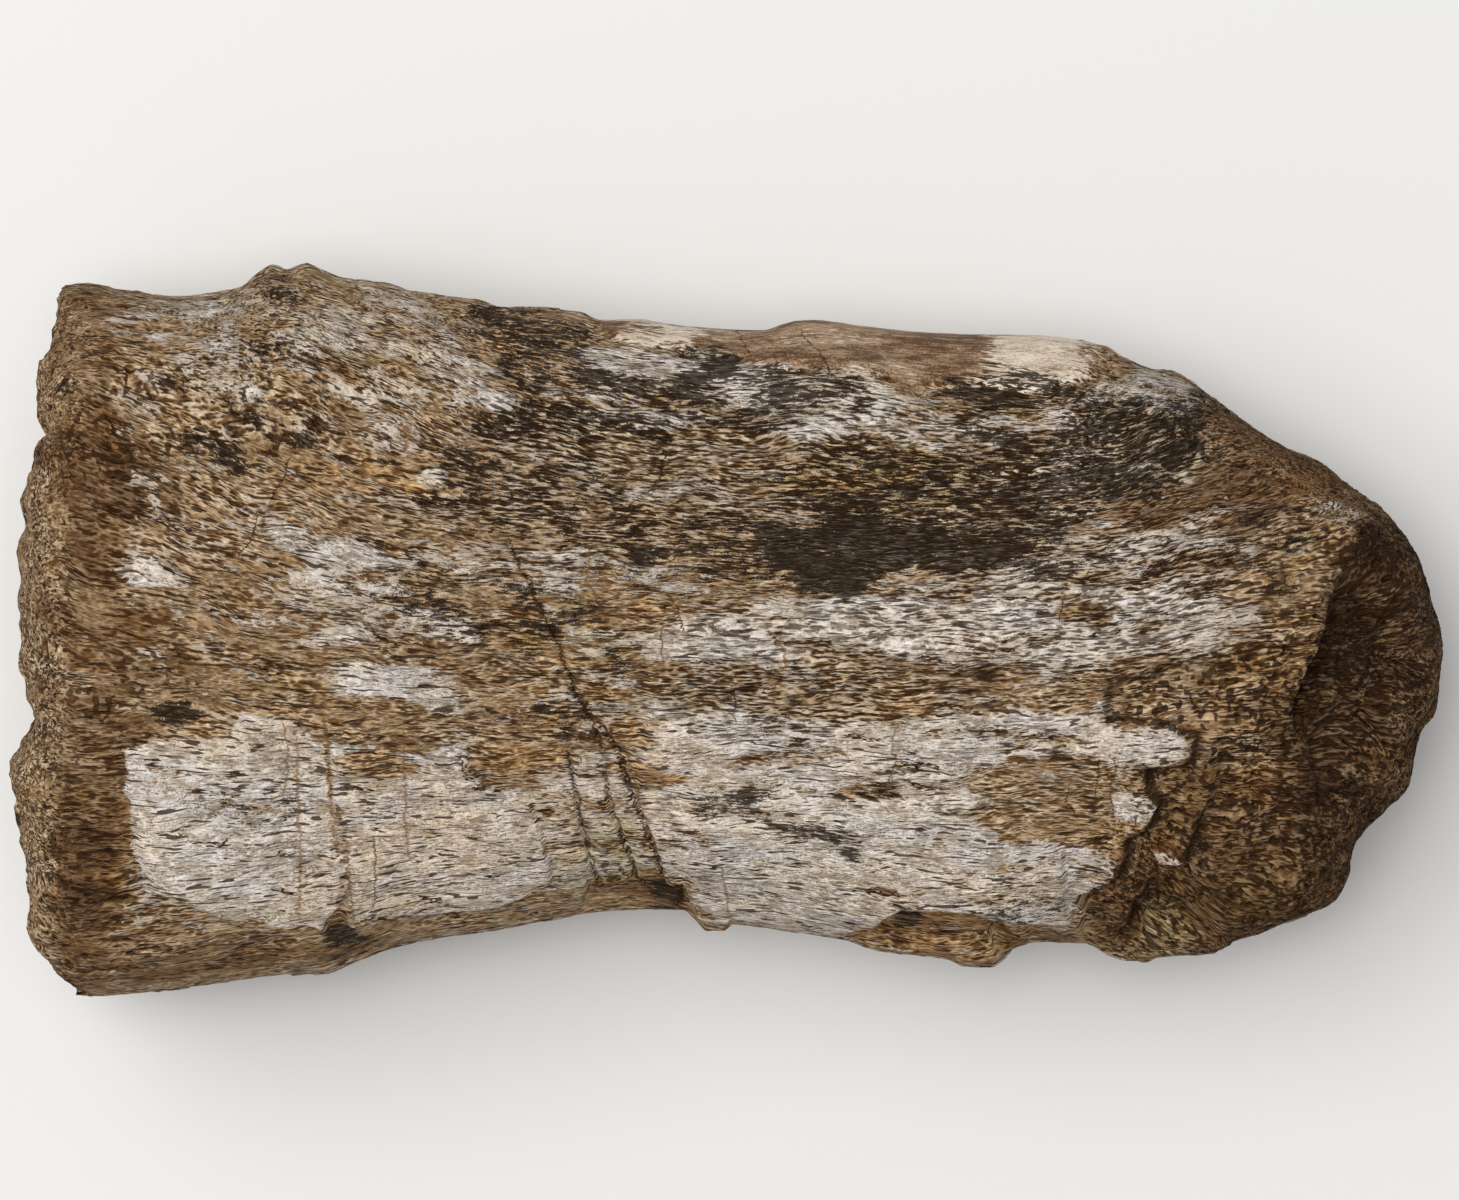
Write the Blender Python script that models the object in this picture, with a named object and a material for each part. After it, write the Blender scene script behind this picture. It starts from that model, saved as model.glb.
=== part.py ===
"""Fossil tail vertebra of a sauropod: the drum-shaped centrum, one piece of bone lying on its side.

Metres, +Z up, +X along the bone to its domed end, +Y across it. The origin is on the ground under its middle.
The forms were laid out over a picture of the bone taken from straight above, so outlines and features are
lists of (column, row) in that picture's pixels, and LENGTH gives them their real size.
"""

import bpy
import numpy as np

# Driving dimensions, in metres
LENGTH = 0.200  # end to end along X
THICKNESS = 0.080  # ground to the highest point, on the flat end's rim
SIGHT_HEIGHT = 1.0  # from the widest level of the bone up to the eye that saw the picture
FACE_DISH = 0.0075  # how far the flat end is hollowed
CORTEX_STEP = 0.0023  # thickness of the outer layer where it has broken away at the domed end
LOWER_STEP = 0.0033  # drop from the second layer there to the spongy bone
END_STEP = 0.0036  # drop from the body to the worn dome
SLAB_STEP = 0.0009  # height of the pale sheets over the bone they lie on
CRACK_DEPTH = 0.0022
CRACK_WIDTH = 0.0010
NOTCH_DEPTH = 0.0020
LOWER_BREAK_DEPTH = 0.0022
LUMP = 0.0007  # roughness of the worn surface
SPONGE_LUMP = 0.0011  # extra roughness of the spongy ends
FACE_LUMP = 0.0009  # roughness of the flat end
SCAR_STEP = 0.0008  # height of the broken base that the neural arch left along the top edge

# Sizes of the irregularities, in metres along the grain and both ways across it
RAGGED_SIZE = (0.012, 0.0035, 0.0035)
WANDER_SIZE = (0.006, 0.006, 0.006)
PATCH_SIZE = (0.040, 0.016, 0.016)
WEAR_SIZE = (0.020, 0.007, 0.007)
SPONGE_SIZE = (0.006, 0.006, 0.006)
SEEDS = {"ragged": 11, "wander": 21, "patches": 31, "wear": 41, "sponge": 51, "face": 61}

# The picture, in pixels
ENDS = (13, 1443)  # columns of the two ends
ORIGIN = (728, 630)  # column and row over the origin
EYE = (729.5, 600)  # column and row that the eye is over
PIXEL = LENGTH / (ENDS[1] - ENDS[0])  # metres for one pixel, at the widest level

# Grid that the surface is laid out on, before it is thinned to a working number of faces
RINGS_BODY, RINGS_FACE = 150, 16
POINTS_OVER, POINTS_UNDER = 90, 50
FACES_KEPT = 9000

# Edges of the bone as seen from above, as (column, row)
TOP_EDGE = [
    (66, 287), (89, 283), (122, 289), (184, 297), (214, 294), (240, 287), (258, 273), (272, 266), (288, 271),
    (306, 265), (340, 279), (392, 286), (412, 293), (476, 301), (501, 308), (550, 308), (580, 313), (602, 326),
    (626, 324), (690, 332), (764, 336), (788, 329), (809, 326), (867, 332), (928, 338), (1041, 341),
    (1105, 348), (1121, 358), (1152, 371), (1169, 372), (1211, 398), (1252, 427), (1289, 450), (1321, 463),
    (1344, 482), (1380, 508), (1404, 536), (1420, 562), (1430, 598), (1439, 627), (1443, 648),
]
BOTTOM_EDGE = [
    (66, 995), (92, 995), (129, 993), (159, 990), (214, 982), (275, 974), (324, 972), (346, 964), (392, 947),
    (435, 938), (482, 931), (544, 921), (592, 912), (640, 910), (684, 910), (697, 921), (707, 931), (724, 931),
    (733, 924), (758, 927), (821, 936), (852, 941), (876, 950), (946, 958), (965, 965), (989, 966), (1002, 958),
    (1014, 946), (1038, 941), (1083, 942), (1112, 954), (1147, 962), (1157, 957), (1211, 953), (1232, 942),
    (1267, 930), (1321, 908), (1337, 898), (1345, 874), (1350, 850), (1363, 831), (1385, 810), (1406, 786),
    (1411, 760), (1419, 735), (1434, 708), (1440, 668), (1443, 648),
]
LEFT_EDGE = [
    (66, 284), (58, 301), (52, 326), (46, 347), (36, 366), (34, 384), (34, 405), (38, 420), (48, 430),
    (38, 445), (35, 466), (25, 482), (22, 506), (24, 522), (20, 540), (17, 570), (19, 640), (23, 669),
    (29, 677), (31, 716), (20, 738), (14, 768), (13, 808), (20, 851), (29, 891), (32, 930), (38, 943),
    (49, 964), (70, 986), (92, 995),
]
FACE_COLUMN = 66  # where the body's rings begin, before they take the left edge's shape
SHEAR_REACH = 200  # how far along the rings straighten out, in pixels
NICK_REACH = 14  # how far along the small nicks of that edge reach
EDGE_BLUR = 45  # bumps of the edges shorter than this, in pixels, fade out over the top and underneath
BLUR_COLUMNS = (20, 200)  # how far from the dome's tip that fading sets in
BUMP_REACH = 0.26  # how far round they reach, as the sine of the angle from the edge
DOME_COLUMN = 1180  # where the domed end begins
DOME_SPAN = 150  # from there to where it is fully rounded
FADE_SIDE, FADE_DOME = 16, 80  # over how far in from the outline the breaks and hollows set in
RAGGED_REACH = 7  # how far the broken edges stray from the outlines below
WANDER_REACH = 4  # how far the cracks do
TUBE_RADIUS = 0.045  # of the even tube on which the grain is laid out

# Heights along the bone, as (column, share of THICKNESS): the crest, the widest level and the underside.
# Where the underside is below 0 the bone is worn flat, and rests
CREST = [
    (66, 0.850), (72, 0.915), (84, 0.958), (105, 0.988), (150, 1.000), (200, 0.990), (280, 0.958), (420, 0.906),
    (600, 0.862), (760, 0.850), (920, 0.868), (1060, 0.900), (1160, 0.920), (1240, 0.920), (1300, 0.900),
    (1350, 0.856), (1390, 0.790), (1415, 0.722), (1433, 0.632), (1440, 0.560), (1443, 0.460),
]
WIDEST = [(66, 0.481), (400, 0.475), (900, 0.468), (1443, 0.460)]
UNDERSIDE = [
    (66, 0.125), (72, 0.062), (84, 0.022), (105, -0.008), (150, -0.015), (200, 0.005), (280, 0.044),
    (420, 0.094), (600, 0.125), (760, 0.125), (920, 0.100), (1060, 0.044), (1150, -0.002), (1190, -0.015),
    (1230, -0.012), (1290, 0.032), (1345, 0.094), (1390, 0.165), (1415, 0.225), (1433, 0.300), (1440, 0.370),
    (1443, 0.460),
]
SQUARENESS = [(66, 2.7), (300, 2.5), (760, 2.35), (1200, 2.3), (1443, 2.1)]  # 2 is an ellipse, more is boxier

# Long hollows, as (column, row, half width in pixels, depth in metres)
HOLLOW_OVER = [
    (120, 455, 60, 0.0015), (330, 465, 80, 0.0030), (560, 480, 88, 0.0045), (850, 490, 92, 0.0062),
    (1050, 460, 95, 0.0062), (1220, 440, 70, 0.0030), (1310, 480, 45, 0.0008),
]
HOLLOW_RIM = [(128, 720, 16, 0.0005), (134, 800, 16, 0.0010), (146, 890, 16, 0.0008)]
HOLLOW_UNDER = [(200, 600, 90, 0.0015), (520, 640, 120, 0.0040), (860, 650, 120, 0.0045), (1150, 640, 80, 0.0015)]
END_GROOVE = [
    (1362, 545, 14, 0.0006), (1352, 585, 17, 0.0022), (1342, 640, 17, 0.0028), (1326, 690, 15, 0.0022),
    (1312, 730, 14, 0.0008),
]

# What is left of the outer layer, the second layer and the body, as seen from above
CORTEX = [
    (0, 200), (1459, 200), (1459, 560), (1300, 640), (1240, 650), (1205, 655), (1160, 664), (1142, 678),
    (1110, 682), (1104, 700), (1112, 722), (1160, 722), (1196, 742), (1180, 766), (1148, 772), (1146, 796),
    (1158, 806), (1152, 826), (1130, 838), (1118, 868), (1110, 888), (1082, 896), (1078, 932), (1000, 938),
    (990, 1040), (0, 1040),
]
SECOND_LAYER = [
    (0, 200), (1459, 200), (1459, 560), (1376, 560), (1330, 640), (1270, 690), (1226, 712), (1214, 750),
    (1206, 800), (1194, 840), (1180, 868), (1152, 896), (1128, 925), (1112, 950), (1080, 1040), (0, 1040),
]
BODY = [
    (0, 200), (1340, 200), (1372, 470), (1380, 520), (1342, 580), (1330, 630), (1310, 680), (1308, 735),
    (1340, 800), (1356, 900), (1320, 1040), (0, 1040),
]
ARCH_SCAR = [
    (560, 280), (612, 338), (640, 346), (730, 352), (800, 366), (880, 370), (905, 384), (940, 372), (1060, 368),
    (1112, 356), (1150, 372), (1130, 280),
]
ARCH_SCAR_UNDER = [(585, 280), (640, 352), (760, 376), (850, 358), (960, 384), (1060, 372), (1108, 352), (1100, 280)]
NOTCH = [(588, 884), (686, 880), (700, 940), (640, 1000), (590, 960)]
LOWER_BREAK = [(852, 930), (905, 912), (1000, 924), (1020, 940), (1010, 990), (960, 1010), (860, 990)]
PALE_SLABS = [
    [(121, 742), (226, 740), (262, 712), (322, 730), (334, 790), (352, 868), (322, 930), (240, 922), (150, 896)],
    [(322, 730), (400, 748), (462, 756), (478, 786), (530, 800), (552, 876), (500, 902), (345, 922), (346, 860)],
    [(640, 634), (720, 622), (800, 600), (960, 622), (1100, 640), (1140, 672), (960, 690), (780, 672),
     (700, 700), (652, 720)],
    [(650, 720), (730, 712), (900, 720), (985, 716), (965, 790), (1060, 850), (1070, 924), (900, 908),
     (850, 930), (700, 918), (664, 870), (640, 790)],
]

LIP_COLUMNS = (1165, 1240)  # where the outer layer's edge runs out, to the right
RIM_COLUMNS = (60, 150)  # where the spongy rim of the flat end turns into smooth bone
SCAR_COLUMNS = (560, 600, 1040, 1140)  # where the scar rises, and where it runs out
WEAR_SPARED = 0.75  # share of the wear that is left out on the outline, which already has its own

# Cracks across the grain, as (column, row) from end to end
CRACKS = [
    [(514, 545), (538, 600), (556, 640), (576, 690), (604, 748)],
    [(572, 690), (592, 716), (618, 748), (630, 790), (650, 842), (664, 880), (692, 928)],
    [(568, 758), (578, 800), (588, 850), (600, 890)],
    [(606, 780), (622, 840), (640, 892)],
    [(780, 628), (776, 665), (766, 690), (726, 696)],
]
CRACK_ROUND = [(692, 928), (700, 840), (690, 700), (640, 560), (600, 420)]  # the longest crack, gone under


def curve(points, at):
    """A smooth line through the points that never overshoots them, read at each value of at."""
    x, y = np.array(points, float).T
    step, slope = np.diff(x), np.diff(y) / np.diff(x)
    tangent = np.zeros_like(x)
    turning = slope[:-1] * slope[1:] > 0
    weight_1, weight_2 = 2 * step[1:] + step[:-1], step[1:] + 2 * step[:-1]
    inner = np.zeros(len(x) - 2)
    inner[turning] = (weight_1 + weight_2)[turning] / (
        weight_1[turning] / slope[:-1][turning] + weight_2[turning] / slope[1:][turning]
    )
    tangent[1:-1] = inner
    tangent[0], tangent[-1] = slope[0], slope[-1]
    at = np.clip(at, x[0], x[-1])
    k = np.clip(np.searchsorted(x, at, side="right") - 1, 0, len(x) - 2)
    t = (at - x[k]) / step[k]
    return (
        (1 + 2 * t) * (1 - t) ** 2 * y[k]
        + t * (1 - t) ** 2 * step[k] * tangent[k]
        + t * t * (3 - 2 * t) * y[k + 1]
        + t * t * (t - 1) * step[k] * tangent[k + 1]
    )


def smooth(value, low, high):
    """0 below low and 1 above high, with a soft ramp between."""
    t = np.clip((value - low) / (high - low), 0, 1)
    return t * t * (3 - 2 * t)


def lattice(ix, iy, iz, seed):
    """A fixed number from -1 to 1 for each corner of a cubic lattice."""
    h = (ix * 73856093) ^ (iy * 19349663) ^ (iz * 83492791) ^ (seed * 40503)
    h = ((h ^ (h >> 13)) * 1274126177) & 0xFFFFFFFF
    h = ((h ^ (h >> 15)) * 2246822519) & 0xFFFFFFFF
    return (h ^ (h >> 16)) / 0x7FFFFFFF - 1


def noise(points, size, seed=0):
    """Smooth noise from -1 to 1, with lumps about size across. size may differ along each axis."""
    p = points / np.array(size, float)
    cell = np.floor(p).astype(np.int64)
    t = p - cell
    t = t * t * t * (t * (t * 6 - 15) + 10)
    total = 0
    for corner in np.ndindex(2, 2, 2):
        weight = np.prod(np.where(corner, t, 1 - t), axis=1)
        total = total + weight * lattice(*(cell + corner).T, seed)
    return total


def layered_noise(points, size, octaves, seed=0):
    """Noise with finer, weaker noise added to it."""
    size = np.array(size, float)
    total = sum(noise(points, size / 2**k, seed + k) * 0.5**k for k in range(octaves))
    return total / (2 - 0.5 ** (octaves - 1))


def depth_inside(spots, outline):
    """Distance in from a closed outline, in pixels, negative outside it."""
    nearest = np.full(len(spots), np.inf)
    inside = np.zeros(len(spots), bool)
    for a, b in zip(outline, outline[1:] + outline[:1]):
        a, b = np.array(a, float), np.array(b, float)
        along = np.clip((spots - a) @ (b - a) / ((b - a) @ (b - a)), 0, 1)
        nearest = np.minimum(nearest, np.linalg.norm(spots - a - along[:, None] * (b - a), axis=1))
        if a[1] != b[1]:
            spans = (a[1] > spots[:, 1]) != (b[1] > spots[:, 1])
            inside ^= spans & (spots[:, 0] < a[0] + (spots[:, 1] - a[1]) * (b[0] - a[0]) / (b[1] - a[1]))
    return np.where(inside, nearest, -nearest)


def near_path(spots, path):
    """Distance to an open path in pixels, and its further values (width, depth) at the nearest place on it."""
    path = np.array(path, float)
    nearest = np.full(len(spots), np.inf)
    values = np.zeros((len(spots), path.shape[1] - 2))
    for a, b in zip(path, path[1:]):
        run = b[:2] - a[:2]
        along = np.clip((spots - a[:2]) @ run / (run @ run), 0, 1)[:, None]
        distance = np.linalg.norm(spots - a[:2] - along * run, axis=1)
        closer = distance < nearest
        nearest[closer] = distance[closer]
        values[closer] = (a[2:] + along * (b[2:] - a[2:]))[closer]
    return nearest, values


def strays(grain, size, seed):
    """How far each spot is led astray, as two numbers from -1 to 1."""
    return np.stack([noise(grain, size, seed), noise(grain, size, seed + 1)], axis=1)


def blurred(points, at, reach):
    """The line through the points with its short bumps taken out, read at each value of at."""
    steps = np.linspace(-1.5, 1.5, 13)
    weights = np.exp(-(steps**2))
    sides = [curve(points, at + reach * step) * weight for step, weight in zip(steps, weights)]
    return sum(sides) / weights.sum()


def hollow(spots, path):
    """Depth in metres of a soft trough along a path of (column, row, half width, depth)."""
    distance, values = near_path(spots, path)
    return values[:, 1] * np.exp(-((distance / values[:, 0]) ** 2))


def section(column):
    """One ring round the bone, as (row, height, arc) for points over the top and back underneath.

    arc runs from 0 to 1 over the top, from the top edge to the bottom edge, and on from 1 to 2 underneath.
    """
    reach = EDGE_BLUR * smooth(ENDS[1] - column, *BLUR_COLUMNS) + 1e-6
    edges = [(edge, float(blurred(edge, column, reach))) for edge in (TOP_EDGE, BOTTOM_EDGE)]
    (top, bottom), (top_bump, bottom_bump) = zip(*[(line, float(curve(edge, column)) - line) for edge, line in edges])
    widest = THICKNESS * curve(WIDEST, column)
    power = 2 / curve(SQUARENESS, column)
    turn = np.linspace(0, np.pi, 361)
    across = np.sign(np.cos(turn)) * np.abs(np.cos(turn)) ** power
    rise = np.abs(np.sin(turn)) ** power
    near_edge = np.exp(-((np.sin(turn) / BUMP_REACH) ** 2))
    row = (top + bottom) / 2 - across * (bottom - top) / 2
    row += near_edge * np.where(turn < np.pi / 2, top_bump, bottom_bump)
    halves = []
    for count, end, start in ((POINTS_OVER, CREST, 0), (POINTS_UNDER, UNDERSIDE, 1)):
        height = widest + rise * (THICKNESS * curve(end, column) - widest)
        line = np.stack([row, height])[:, :: 1 - 2 * start]
        run = np.concatenate([[0], np.cumsum(np.hypot(np.diff(line[0]) * PIXEL, np.diff(line[1])))])
        share = np.linspace(0, 1, count, endpoint=False)
        place = [np.interp(share * run[-1], run, values) for values in line]
        halves.append(np.stack([*place, start + share], axis=1))
    return np.concatenate(halves)


def rings():
    """The bare form as rings of (column, row, height, arc), from the flat end's centre to the dome's tip."""
    end = ENDS[1] - FACE_COLUMN
    share = np.linspace(0, 1, RINGS_BODY + 1)[:-1]
    columns = FACE_COLUMN + end * np.where(share < 0.5, share**1.12 / 0.5**0.12, 1 - (1 - share) ** 1.35 / 0.5**0.35)
    left_edge = [(row, edge) for edge, row in LEFT_EDGE]
    body = []
    for column in columns:
        ring = section(column)
        broad = blurred(left_edge, ring[:, 0], EDGE_BLUR)
        nicks = (curve(left_edge, ring[:, 0]) - broad) * (ring[:, 2] < 1)
        shear = (broad - FACE_COLUMN) * (1 - smooth(column - FACE_COLUMN, 0, SHEAR_REACH))
        shear += nicks * (1 - smooth(column - FACE_COLUMN, 0, NICK_REACH))
        body.append(np.column_stack([column + shear, ring]))
    rim = body[0]
    centre = rim[:, :3].mean(axis=0)
    face = []
    for k in range(1, RINGS_FACE):
        share = k / RINGS_FACE
        ring = rim.copy()
        ring[:, :3] = centre + (rim[:, :3] - centre) * share
        lip = rim[:, 0] * share**2 + centre[0] * (1 - share**2)
        ring[:, 0] = lip + FACE_DISH / PIXEL * (1 - share**2.5)
        face.append(ring)
    return np.array(face), np.array(body), centre


def to_metres(column, row, height):
    """A place in the row frame. The picture shows what is nearer to the eye larger, and this undoes it."""
    scale = PIXEL * (1 - np.maximum(height - THICKNESS * WIDEST[0][1], 0) / SIGHT_HEIGHT)
    eye = (np.array(EYE) - ORIGIN) * PIXEL
    return np.stack([eye[0] + (column - EYE[0]) * scale, -eye[1] - (row - EYE[1]) * scale, height], axis=-1)


def relief(spots, arc, grain):
    """How far each point of the bare form stands out, in metres, from the breaks, hollows, cracks and wear."""
    column, row = spots.T
    edge = np.minimum(row - curve(TOP_EDGE, column), curve(BOTTOM_EDGE, column) - row)  # distance in, in pixels
    dome = smooth(column, DOME_COLUMN, DOME_COLUMN + DOME_SPAN)
    inside = smooth(edge / (FADE_SIDE + (FADE_DOME - FADE_SIDE) * dome), 0, 1)
    over, under = inside * (arc < 1), inside * (arc > 1)
    ragged = spots + RAGGED_REACH * strays(grain, RAGGED_SIZE, SEEDS["ragged"])
    wander = spots + WANDER_REACH * strays(grain, WANDER_SIZE, SEEDS["wander"])
    cortex = depth_inside(ragged, CORTEX)
    drop = CORTEX_STEP * (1 - smooth(column, *LIP_COLUMNS)) * (1 - smooth(cortex, -5, 2))
    drop += LOWER_STEP * (1 - smooth(depth_inside(ragged, SECOND_LAYER) / (1 + 5 * dome), -16, 4))
    drop += END_STEP * (1 - smooth(depth_inside(ragged, BODY), -22, 4))
    drop += NOTCH_DEPTH * smooth(depth_inside(ragged, NOTCH), -4, 5)
    drop += LOWER_BREAK_DEPTH * smooth(depth_inside(ragged, LOWER_BREAK), -4, 6)
    slab = np.max([depth_inside(ragged, outline) for outline in PALE_SLABS], axis=0)
    drop -= SLAB_STEP * smooth(slab, -4, 4)
    for path in (HOLLOW_OVER, HOLLOW_RIM, END_GROOVE):
        drop += hollow(spots, path)
    width = CRACK_WIDTH / PIXEL
    for path in CRACKS:
        drop += CRACK_DEPTH * np.exp(-((near_path(wander, path)[0] / width) ** 2))
    drop_under = hollow(spots, HOLLOW_UNDER)
    drop_under += CRACK_DEPTH * np.exp(-((near_path(wander, CRACK_ROUND)[0] / width) ** 2))
    scar = np.where(arc < 1, depth_inside(ragged, ARCH_SCAR), depth_inside(ragged, ARCH_SCAR_UNDER))
    drop_under -= SLAB_STEP * smooth(layered_noise(grain, PATCH_SIZE, 3, SEEDS["patches"]), -0.02, 0.04)
    sponge = 1 - smooth(column, *RIM_COLUMNS) + smooth(-cortex, -6, 20) * (arc < 1) + dome * (arc > 1)
    wear = LUMP * layered_noise(grain, WEAR_SIZE, 3, SEEDS["wear"])
    wear += SPONGE_LUMP * np.clip(sponge, 0, 1) * layered_noise(grain, SPONGE_SIZE, 2, SEEDS["sponge"])
    wear *= 1 - WEAR_SPARED * (1 - smooth(np.abs(np.sin(np.pi * arc)), 0, 0.4) * smooth(ENDS[1] - column, 0, 40))
    ends = smooth(column, *SCAR_COLUMNS[:2]) * (1 - smooth(column, *SCAR_COLUMNS[2:]))
    return wear + SCAR_STEP * ends * smooth(scar, -5, 3) - over * drop - under * drop_under


def surface():
    """Points and four- or three-cornered faces of the finished bone."""
    face, body, centre = rings()
    grid = np.concatenate([face, body])
    count, around = grid.shape[:2]
    flat = grid.reshape(-1, 4)
    points = to_metres(flat[:, 0], flat[:, 1], flat[:, 2])
    # The grain is laid out on an even tube, so that it fans out where the bone does, and closes at both ends
    turn = np.pi * flat[:, 3]
    width = grid[:, :, 1].max(axis=1) - grid[:, :, 1].min(axis=1)
    dome = len(face) + np.searchsorted(body[:, 0, 0], DOME_COLUMN)
    closing = np.where(np.arange(count) < dome, 1, width / width[dome])
    closing[: len(face)] = np.arange(1, RINGS_FACE) / RINGS_FACE
    radius = TUBE_RADIUS * np.repeat(closing, around)
    grain = np.stack([flat[:, 0] * PIXEL, radius * np.cos(turn), radius * np.sin(turn)], axis=1)
    shaped = points.reshape(count, around, 3)
    along = np.gradient(shaped, axis=0)
    across = np.roll(shaped, -1, axis=1) - np.roll(shaped, 1, axis=1)
    normal = np.cross(along, across).reshape(-1, 3)
    normal /= np.linalg.norm(normal, axis=1)[:, None] + 1e-12
    outward = np.sign(np.sum(normal * (points - points.mean(axis=0)), axis=1).mean())
    on_face = np.repeat(np.arange(count) < len(face), around)
    raised = relief(flat[:, :2], np.where(on_face, 0, flat[:, 3]), grain)
    raised[on_face] = FACE_LUMP * layered_noise(grain[on_face], SPONGE_SIZE, 3, SEEDS["face"])
    points = points + outward * normal * raised[:, None]
    tips = [
        to_metres(centre[0] + FACE_DISH / PIXEL, centre[1], centre[2]),
        to_metres(ENDS[1], TOP_EDGE[-1][1], THICKNESS * CREST[-1][1]),
    ]
    index = np.arange(count * around).reshape(count, around)
    after = np.roll(index, -1, axis=1)
    sides = np.stack([index[:-1], after[:-1], after[1:], index[1:]], axis=-1).reshape(-1, 4)
    start, stop = count * around, count * around + 1
    faces = [tuple(side) for side in sides.tolist()]
    faces += [(start, b, a) for a, b in zip(index[0].tolist(), after[0].tolist())]
    faces += [(stop, a, b) for a, b in zip(index[-1].tolist(), after[-1].tolist())]
    return np.concatenate([points, tips]), faces


def bone_material():
    """Weathered, dry fossil bone."""
    material = bpy.data.materials.new("fossil_bone")
    material.use_nodes = True
    shader = material.node_tree.nodes["Principled BSDF"]
    shader.inputs["Base Color"].default_value = (0.36, 0.29, 0.21, 1)
    shader.inputs["Roughness"].default_value = 0.85
    shader.inputs["Metallic"].default_value = 0
    return material


def ground_cutter():
    """A block below the ground, which wears the underside flat where the bone rests."""
    bpy.ops.mesh.primitive_cube_add(size=1, location=(0, 0, -LENGTH / 4))
    block = bpy.context.object
    block.name = "ground_cutter"
    block.scale = (2 * LENGTH, 2 * LENGTH, LENGTH / 2)
    block.display_type = "WIRE"
    block.hide_render = True
    return block


def make_vertebra():
    """The whole bone as one object, thinned to a working number of faces and worn flat where it rests."""
    points, faces = surface()
    mesh = bpy.data.meshes.new("vertebra")
    mesh.from_pydata(points.tolist(), [], faces)
    mesh.validate()
    mesh.materials.append(bone_material())
    bone = bpy.data.objects.new("vertebra", mesh)
    bpy.context.scene.collection.objects.link(bone)
    triangles = sum(len(face) - 2 for face in faces)
    thin = bone.modifiers.new("Thin", "DECIMATE")
    thin.ratio = FACES_KEPT / triangles
    wear = bone.modifiers.new("Rest", "BOOLEAN")
    wear.operation = "DIFFERENCE"
    wear.object = ground_cutter()
    return bone


for old in list(bpy.data.objects):
    bpy.data.objects.remove(old)
make_vertebra()
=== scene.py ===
import math

import bpy
import numpy as np
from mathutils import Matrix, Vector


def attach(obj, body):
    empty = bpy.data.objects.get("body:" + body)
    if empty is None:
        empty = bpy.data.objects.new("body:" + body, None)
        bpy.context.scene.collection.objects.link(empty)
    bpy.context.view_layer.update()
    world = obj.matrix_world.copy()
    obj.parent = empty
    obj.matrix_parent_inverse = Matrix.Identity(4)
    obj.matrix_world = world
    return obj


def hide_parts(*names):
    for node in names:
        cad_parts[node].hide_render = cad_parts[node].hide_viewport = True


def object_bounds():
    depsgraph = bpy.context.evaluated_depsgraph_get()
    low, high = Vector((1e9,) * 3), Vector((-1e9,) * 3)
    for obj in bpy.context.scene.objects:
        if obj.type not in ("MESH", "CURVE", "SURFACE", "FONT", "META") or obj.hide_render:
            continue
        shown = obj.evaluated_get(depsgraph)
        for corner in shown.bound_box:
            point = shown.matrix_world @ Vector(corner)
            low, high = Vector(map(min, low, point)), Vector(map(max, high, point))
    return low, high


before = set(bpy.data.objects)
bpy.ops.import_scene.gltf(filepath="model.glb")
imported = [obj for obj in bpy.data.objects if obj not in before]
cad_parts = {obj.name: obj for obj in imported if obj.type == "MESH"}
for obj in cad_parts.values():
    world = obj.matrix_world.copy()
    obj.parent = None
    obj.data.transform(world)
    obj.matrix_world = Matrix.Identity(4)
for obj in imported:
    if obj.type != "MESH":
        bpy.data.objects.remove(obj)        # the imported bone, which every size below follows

cadLow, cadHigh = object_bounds()
print("frame loaded, box", [round(side * 1000, 1) for side in cadHigh - cadLow], "mm")

# The bone was laid out over a picture taken from straight above, so places on it are (column, row) in pixels
picture = {
    "width": 1459,
    "ends": (13, 1443),           # columns of the two ends
    "origin": (728, 630),         # column and row over the middle of the box
    "eye": (729.5, 600),          # column and row that the camera is over
    "wornOut": 0.0006,            # how much the wear adds to the length, in metres
    "sightHeight": 1.0,           # from the widest level up to the camera, in metres
    "widestLevel": 0.481,         # share of the thickness
}
pixel = (cadHigh.x - cadLow.x - picture["wornOut"]) / (picture["ends"][1] - picture["ends"][0])
thickness = cadHigh.z - 0.0003    # the wear adds a little here too
millimetre = 0.001

form = {
    "faceDish": 0.0075,           # how far the flat end is hollowed
    "faceColumn": 66,             # where the body's rings begin
    "rimColumn": 112,             # where the rounding of the rim ends
    "shearReach": 200,
    "nickReach": 14,
    "edgeBlur": 45,
    "blurColumns": (20, 200),
    "bumpReach": 0.26,
    "domeColumn": 1180,
    "domeSpan": 150,
    "tubeRadius": 0.045,
    "grainHeight": 0.031,         # half the waist's thickness
    "rings": (660, 56),           # along the body, and in over the flat end
    "points": (400, 130),         # over the top, and underneath
    "trianglesKept": 194000,
}

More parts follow.
